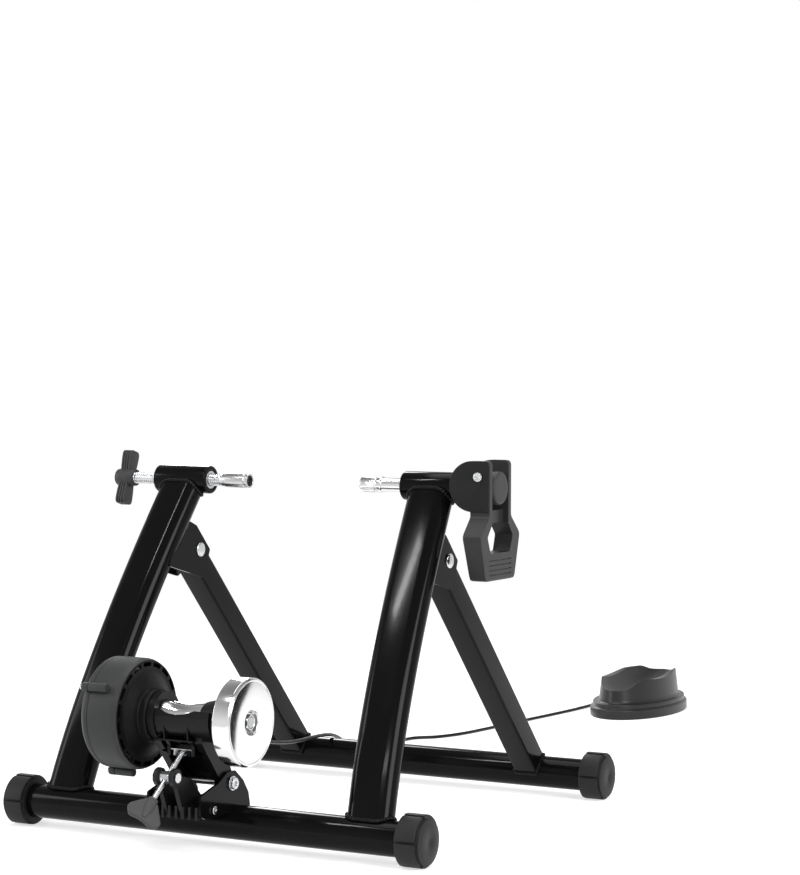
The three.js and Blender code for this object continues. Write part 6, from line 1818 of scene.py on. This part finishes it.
@dataclass
class Adjuster:
    """The screw that sets the roller against the tyre, with its wing, barrel, pin and cross nut."""

    stand: Stand
    x: float = -3.0
    barrel_y: float = -284.0
    barrel_z: float = 86.0
    nut_y: float = -252.0
    nut_z: float = 110.5
    rod_radius: float = 3.1
    above: float = 5.0
    below: float = 55.0
    pitch: float = 2.0
    depth: float = 0.42
    chamfer: float = 0.6
    step: float = 0.2
    thread_start: float = -8.0
    wing_top: float = 36.0
    wing_hub: float = 7.0
    wing_span: float = 21.5
    wing_shoulder: float = 19.0
    wing_length: float = 29.0
    wing_tip: float = 14.5
    wing_thickness: float = 6.0
    wing_rim: float = 2.2
    wing_dip: float = 3.0
    hub_rise: float = 3.0
    hub_shoulder: float = 10.0
    hub_foot: float = 6.0
    hub_foot_radius: float = 4.0
    hub_inset: float = 0.4
    hub_taper: float = 1.0
    wing_turn: float = math.radians(48)

    def axis(self) -> Axis:
        """The screw's line, from the barrel up to the cross nut."""
        way = unit(np.array([0, self.nut_y - self.barrel_y, self.nut_z - self.barrel_z]))
        return Axis((self.x, self.barrel_y, self.barrel_z), tuple(way), (1, 0, 0))

    def screw(self) -> None:
        """The screw, threaded from below the barrel to its upper end."""
        length = math.hypot(self.nut_y - self.barrel_y, self.nut_z - self.barrel_z)
        top = length + self.above
        rows = np.arange(-self.below, top - self.chamfer, self.step)
        profile = np.concatenate([
            [[-self.below, 0]], np.stack([rows, np.full(len(rows), self.rod_radius)], axis=1),
            [[top, self.rod_radius - self.chamfer], [top, 0]],
        ])
        worm = thread(self.pitch, self.depth, self.thread_start, top + self.pitch)
        Shape(self.stand).lathe(profile, self.axis(), steps=28, swell=worm).build(
            "adjuster_screw_threaded", ZINC, "adjuster_screw", ("adjuster_screw",), smooth=60)

    def wing(self) -> None:
        """The wing knob: a thick plate in the screw's line, rounded on both faces, on a tapered hub."""
        axis = self.axis()
        along, side = np.array(axis.along), np.array(axis.across)
        third = np.cross(along, side)
        wide = math.cos(self.wing_turn) * side + math.sin(self.wing_turn) * third
        across = np.cross(wide, along)
        plane = Axis(axis.origin, tuple(across), tuple(wide))
        top = -self.wing_top
        low = top - self.wing_length
        shoulder = top - self.wing_shoulder
        corners = [
            [self.wing_hub, top], [self.wing_span, shoulder], [self.wing_tip, low], [0, low + self.wing_dip],
            [-self.wing_tip, low], [-self.wing_span, shoulder], [-self.wing_hub, top],
        ]
        flip = -1 if np.dot(np.cross(across, wide), along) < 0 else 1
        outline = rounded([[a, flip * b] for a, b in corners], [1.5, 5, 4, 5, 4, 5, 1.5], 6, closed=True)
        half = self.wing_thickness / 2
        shape = Shape(self.stand).plate(outline, -half, half, self.wing_rim, plane, steps=6)
        bore = self.rod_radius + self.stand.clearance
        foot, head, wide = low + self.hub_foot, top + self.hub_rise, self.wing_hub - self.hub_inset
        hub = rounded([
            [foot, bore], [foot, self.hub_foot_radius], [top - self.hub_shoulder, wide],
            [head, wide - self.hub_taper], [head, bore],
        ], 0.9, closed=True)
        shape.lathe(hub, axis, steps=48, closed=True)
        shape.build("wing_knob_moulded", WING_GREY, "adjuster_screw", ("wing_knob",), smooth=50)

    def build(self) -> None:
        """Makes the adjuster."""
        s = self.stand
        self.screw()
        self.wing()
        s.polished("adjuster_barrel", ZINC, "adjuster_barrel", 0.4)
        s.polished("barrel_pin", ZINC, "rear_stand", 0.4)
        s.polished("cross_nut", ZINC, "cross_nut", 0.5)


@dataclass
class Cable:
    """The cable from the drum to the remote: one cord, whose spare length is coiled behind the block."""

    stand: Stand
    radius: float = 2.25
    coil_mean: float = 26.0
    coil_loops: int = 3
    coil_steps: int = 24
    coil_exit: int = 4
    coil_gap: float = 0.75
    coil_centre: tuple = (-66.0, 1116.0)
    remote: tuple = (-71.0, 1206.0)
    remote_depth: float = 38.0
    inlet_z: float = 12.0
    tail_shares: tuple = ((-0.29, 1.28), (-0.195, 1.87))
    route_shares: tuple = (
        (-0.313, -0.099, 0.909), (-0.343, 0, 0.694), (-0.388, 0.116, 0.496), (-0.448, 0.24, 0.415),
        (-0.507, 0.305, 0.223), (-0.575, 0.367, 0.046), (-0.616, 0.421, 0.021), (-0.619, 0.475, 0.021),
        (-0.601, 0.513, 0.021), (-0.517, 0.536, 0.021), (-0.455, 0.573, 0.021), (-0.412, 0.636, 0.021),
        (-0.375, 0.717, 0.021), (-0.332, 0.797, 0.021), (-0.305, 0.86, 0.021), (-0.3, 0.92, 0.021),
        (-0.3265, 0.965, 0.021),
    )

    def start(self) -> Points:
        """Where the cable leaves its boot."""
        _low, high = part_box("cable_boot")
        end_y = high[1] / MM - self.stand.shift[1]
        return np.array([self.stand.cable_x, end_y + self.stand.clearance, self.stand.cable_z])

    def points(self) -> Points:
        """The route's points: straight out of the boot, over the front tube, along the floor, the coil.

        The coil's places are centre + mean (cos a, sin a), which climb a pitch in each turn.
        """
        floor = self.radius + self.stand.clearance
        start = self.start()
        route = np.array(self.route_shares) * [self.stand.half_width, self.coil_centre[1], self.stand.cable_z]
        route[:, 2] = np.where(route[:, 2] < floor + self.radius / 2, floor, route[:, 2])
        left = self.coil_centre[0] - self.coil_mean
        lead = np.array([start, start + [0, 3 * self.radius - self.stand.clearance, 0]])
        into = np.array([[left, self.coil_centre[1] - 3 * self.radius, floor],
                         [left, self.coil_centre[1] + 2 * self.radius, floor]])
        steps = self.coil_loops * self.coil_steps + self.coil_exit
        turn = FULL * np.arange(1, steps + 1) / self.coil_steps
        pitch = 2 * self.radius + self.coil_gap
        coil = np.stack([
            self.coil_centre[0] + self.coil_mean * np.cos(math.pi - turn),
            self.coil_centre[1] + 2 * self.radius + self.coil_mean * np.sin(math.pi - turn),
            floor + pitch * turn / FULL,
        ], axis=1)
        (ax, ay), (bx, by) = self.tail_shares
        inlet_y = self.remote[1] - self.remote_depth / 2 - self.stand.clearance
        tail = np.array([
            [self.coil_centre[0] + self.coil_mean * ax, self.coil_centre[1] + self.coil_mean * ay,
             floor + self.coil_loops * pitch + self.coil_gap],
            [self.coil_centre[0] + self.coil_mean * bx, self.coil_centre[1] + self.coil_mean * by,
             self.inlet_z + self.radius / 4],
            [self.remote[0], inlet_y - 3 * self.radius, self.inlet_z],
            [self.remote[0], inlet_y, self.inlet_z],
        ])
        return np.concatenate([lead, route, into, coil, tail])

    def smooth(self, points: Points, per: int = 6) -> Points:
        """A smooth line through the points: a centripetal spline with per steps between two points.

        Each stretch is the cubic through its two ends whose slopes come from the neighbours, weighed by
        the square root of their distances.
        """
        before = 2 * points[:1] - points[1:2]
        after = 2 * points[-1:] - points[-2:-1]
        p = np.concatenate([before, points, after])
        gap = np.sqrt(np.linalg.norm(np.diff(p, axis=0), axis=1))[:, None]
        p0, p1, p2, p3 = p[:-3], p[1:-2], p[2:-1], p[3:]
        g0, g1, g2 = gap[:-2], gap[1:-1], gap[2:]
        slope1 = ((p1 - p0) / g0 - (p2 - p0) / (g0 + g1) + (p2 - p1) / g1) * g1
        slope2 = ((p2 - p1) / g1 - (p3 - p1) / (g1 + g2) + (p3 - p2) / g2) * g1
        t = np.linspace(0, 1, per, endpoint=False)[None, :, None]
        a, b = p1[:, None], p2[:, None]
        m, n = slope1[:, None], slope2[:, None]
        rise = 3 * t**2 - 2 * t**3
        curve = (1 - rise) * a + (t**3 - 2 * t**2 + t) * m + rise * b + (t**3 - t**2) * n
        return np.concatenate([curve.reshape(-1, 3), points[-1:]])

    def build(self) -> Piece:
        path = self.smooth(self.points())
        shape = Shape(self.stand).rod(ring(self.radius, steps=16), path, (0, 0, 1))
        piece = shape.build("remote_cable", CABLE, "rear_stand", ("cable_run", "cable_coil"), smooth=180)
        metres = self.stand.metres(path)
        return piece


@dataclass
class Remote:
    """The handlebar remote: its body, scalloped knob, hinged clamp and screw."""

    stand: Stand

    def build(self) -> None:
        """Dresses the remote."""
        s = self.stand
        s.polished("remote_body", GLOSS_BLACK, "rear_stand", 0.6)
        s.polished("remote_knob", KNOB_GREY, "remote_knob", 0.8)
        s.polished("remote_clamp", GLOSS_BLACK, "remote_clamp", 0.4)
        s.polished("remote_screw", ZINC, "remote_clamp", 0.4)


@dataclass
class Riser:
    """The riser block: an oval stepped foot and a tapered body with a cradle for the tyre."""

    stand: Stand
    x: float = 0.0
    y: float = 1005.0
    half_width: float = 63.0
    half_length: float = 116.5
    flange: float = 14.0
    step: float = 4.0
    step_height: float = 8.0
    foot_inset: float = 1.0
    foot_bevel: float = 1.5
    flange_bevel: float = 1.4
    neck_bevel: float = 1.5
    neck_rise: float = 3.0
    neck_slope: float = 0.6
    neck_inset: float = 13.0
    top_inset: float = 18.0
    top_z: float = 60.0
    wheel_radius: float = 336.0
    wheel_y: float = 985.0
    crown_z: float = 31.5
    cradle_depth: float = 23.5
    cradle_shares: tuple = (
        (0.127, 0), (0.281, 0.111), (0.381, 0.34), (0.475, 0.677), (0.549, 0.957), (0.603, 0.979), (1.111, 1),
    )
    wall: float = 3.0
    overrun: float = 4.0
    edge: float = 1.0
    steps: int = 192

    def oval(self, profile: Points) -> Shape:
        """An oval body from heights and insets.

        At the height z its edge is ((half width - i) cos a, (half length - i) sin a), i the inset there.

        Args:
            profile: rows of height and inset from the base's edge; an inset of the half length is the axis.

        Returns:
            The shape.
        """
        angle = np.linspace(0, FULL, self.steps, endpoint=False)
        height, inset = profile[:, :1], profile[:, 1:]
        x = self.x + np.maximum(self.half_width - inset, 0) * np.cos(angle)
        y = self.y + np.maximum(self.half_length - inset, 0) * np.sin(angle)
        return Shape(self.stand).grid(np.stack([x, y, np.broadcast_to(height, x.shape)], axis=-1))

    def build(self) -> None:
        """Makes the body, then cuts the cradle and the hollow underneath."""
        top = self.flange + self.step_height
        axis_inset = self.half_length
        body = rounded([
            [0, axis_inset], [0, self.foot_inset], [self.foot_bevel, 0], [self.flange, 0],
            [self.flange + self.flange_bevel, self.step], [top, self.step],
            [top, self.neck_inset - self.neck_bevel],
            [top + self.neck_rise, self.neck_inset + self.neck_slope],
            [self.top_z, self.top_inset], [self.top_z, axis_inset],
        ], [0, 0.6, 1, 1.8, 1, 2, 2, 2, 2.6, 0], 5)
        piece = self.oval(body).build("riser_block_moulded", RISER_GREY, "rear_stand", ("riser_block",))
        side = np.array(self.cradle_shares) * [self.half_width, -self.cradle_depth] + [0, self.wheel_radius]
        outer = side[-1, 0]
        line = np.concatenate([[[-outer, 0]], side[::-1] * [-1, 1], side, [[outer, 0]]])
        bends = [0, 0] + [4] * (len(line) - 4) + [0, 0]
        wheel = Axis((self.x, self.wheel_y, self.crown_z + self.wheel_radius))
        self.carve(piece, Shape(self.stand).lathe(rounded(line.tolist(), bends, 4), wheel, steps=480))
        roof = self.crown_z - 2 * self.wall
        foot, inset = -self.overrun, self.neck_inset + self.wall
        hollow = [[foot, axis_inset], [foot, inset], [roof, self.top_inset], [roof, axis_inset]]
        self.carve(piece, self.oval(np.array(hollow)))
        softened(piece, self.edge, degrees=38, segments=3)
        sharpened(piece, degrees=40)

    def carve(self, piece: Piece, shape: Shape) -> None:
        """Cuts a closed shape out of a piece."""
        cutter = placed("cutter", shape.mesh("cutter"))
        cut = piece.modifiers.new("cut", "BOOLEAN")
        cut.operation = "DIFFERENCE"
        cut.solver = "EXACT"
        cut.object = cutter
        applied(piece)
        bpy.data.objects.remove(cutter)


# Studio


@dataclass
class Studio:
    """The camera at the photograph's place, a pale floor and soft lamps."""

    stand: Stand
    azimuth: float = math.radians(28.31)
    elevation: float = math.radians(1.58)
    roll: float = math.radians(0.22)
    place: tuple = (1427.8, -2421.3, 518.8)
    lens: float = 99.5
    sensor: float = 36.0
    floor_size: float = 3.4
    floor_fade: tuple = (1.2, 2.6)
    floor_tones: tuple = (0.62, 0.8)
    floor_glow: float = 0.6
    world_fill: float = 0.34

    def camera(self) -> None:
        """The camera: back = (sin az cos el, -cos az cos el, sin el), rolled about that line."""
        az, el, roll = self.azimuth, self.elevation, self.roll
        back = Vector((math.sin(az) * math.cos(el), -math.cos(az) * math.cos(el), math.sin(el)))
        right = Vector((0, 0, 1)).cross(back).normalized()
        up = back.cross(right)
        across = math.cos(roll) * right + math.sin(roll) * up
        upward = -math.sin(roll) * right + math.cos(roll) * up
        data = bpy.data.cameras.new("camera")
        data.lens = self.lens
        data.sensor_fit = "VERTICAL"
        data.sensor_height = self.sensor
        data.clip_end = 100
        camera = placed("camera", data)
        place = Vector(self.stand.metres(np.array(self.place)))
        turn = Matrix((across, upward, back)).transposed().to_4x4()
        camera.matrix_world = Matrix.Translation(place) @ turn
        bpy.context.scene.camera = camera

    def lamp(self, name: str, place: tuple, aim: tuple, size: tuple, power: float) -> None:
        """A rectangular soft lamp at a place, aimed at a point, both in metres."""
        data = bpy.data.lights.new(name, "AREA")
        data.shape = "RECTANGLE"
        data.size, data.size_y = size
        data.energy = power
        lamp = placed(name, data)
        way = Vector(aim) - Vector(place)
        lamp.location = place
        lamp.rotation_euler = way.to_track_quat("-Z", "Y").to_euler()

    def world(self) -> None:
        """White where the camera and gloss look level, dimmer overhead for gloss, and a plain fill."""
        world = bpy.data.worlds.new("studio")
        bpy.context.scene.world = world
        world.use_nodes = True
        tree = world.node_tree
        tree.nodes.clear()
        path, place, split = (node(tree, kind) for kind in ("LightPath", "TexCoord", "SeparateXYZ"))
        dim = node(tree, "MapRange", {"From Min": 0.12, "From Max": 0.85, "To Min": 0.95, "To Max": 0.25})
        gloss = node(tree, "Math", operation="MAXIMUM")
        fill = node(tree, "Mix", {"A": self.world_fill})
        seen = node(tree, "Mix", {"B": 1.0})
        back = node(tree, "Background", {"Color": (1, 1, 1, 1)})
        out = node(tree, "OutputWorld")
        wire(tree, (place, "Generated", split, 0), (split, "Z", dim, "Value"),
             (path, "Is Glossy Ray", gloss, 0), (path, "Is Transmission Ray", gloss, 1),
             (gloss, 0, fill, "Factor"), (dim, "Result", fill, "B"),
             (path, "Is Camera Ray", seen, "Factor"), (fill, "Result", seen, "A"),
             (seen, "Result", back, "Strength"), (back, 0, out, "Surface"))

    def floor(self) -> None:
        """A pale disc that fades into the white background, and keeps the object's shadow."""
        t = np.linspace(0, 1, 24)
        profile = np.stack([np.zeros(len(t)), self.floor_size / MM * t], axis=1)
        grid = turned(profile, Axis((0, 0, 0), (0, 0, 1), (1, 0, 0))) - [0, self.stand.shift[1], 0]
        floor = placed("floor", Shape(self.stand).grid(grid).mesh("floor"))
        made = bpy.data.materials.new("pale_floor")
        made.use_nodes = True
        tree = made.node_tree
        tree.nodes.clear()
        place, path = node(tree, "TexCoord"), node(tree, "LightPath")
        reach = node(tree, "VectorMath", operation="LENGTH")
        fade = node(tree, "MapRange", {"From Min": self.floor_fade[0], "From Max": self.floor_fade[1]},
                    interpolation_type="SMOOTHSTEP")
        plain, bounce = (node(tree, "BsdfDiffuse", {"Color": (v, v, v, 1)}) for v in self.floor_tones)
        glow = node(tree, "Emission", {"Strength": self.floor_glow})
        lit, clear = node(tree, "AddShader"), node(tree, "BsdfTransparent")
        mixed, which = node(tree, "MixShader"), node(tree, "MixShader")
        out = node(tree, "OutputMaterial")
        wire(tree, (place, "Object", reach, 0), (reach, "Value", fade, "Value"), (plain, 0, lit, 0),
             (glow, 0, lit, 1), (fade, "Result", mixed, "Fac"), (lit, 0, mixed, 1), (clear, 0, mixed, 2),
             (path, "Is Diffuse Ray", which, "Fac"), (mixed, 0, which, 1), (bounce, 0, which, 2),
             (which, 0, out, "Surface"))
        floor.data.materials.append(made)

    def build(self) -> None:
        """Makes the lamps, the world and the floor, and sets how colours are shown."""
        bpy.context.scene.view_settings.view_transform = "Standard"
        aim = (0.0, -0.5, 0.2)
        self.lamp("right_key", (2.3, -1.2, 1.3), aim, size=(1.3, 1.3), power=46)
        self.lamp("left_fill", (-2.3, -1.9, 1.0), aim, size=(0.9, 1.6), power=26)
        self.lamp("overhead", (0.0, -0.3, 2.4), aim, size=(1.8, 1.8), power=30)
        self.lamp("rear_strip", (-1.5, 1.6, 1.5), aim, size=(0.3, 1.6), power=22)
        self.lamp("front_strip", (0.5, -2.9, 1.9), aim, size=(1.6, 0.18), power=16)
        self.lamp("upright_glint", (-0.76, -1.45, 1.83), (0.19, -0.45, 0.35), size=(0.09, 0.34), power=6)
        self.world()
        self.floor()


def main() -> None:
    """Builds the model in order."""
    logging.basicConfig(level=logging.INFO, format="%(name)s: %(message)s")
    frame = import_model()
    stand = Stand(frame, Effects())
    studio = Studio(stand)
    studio.camera()
    Cable(stand).build()
    parts = (BaseTubes, Legs, Feet, LeftClamp, RightClamp, Rotor, Drum, UnitMount, Adjuster, Remote, Riser)
    for part in parts:
        part(stand).build()
    studio.build()
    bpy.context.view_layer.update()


if __name__ == "__main__":
    main()
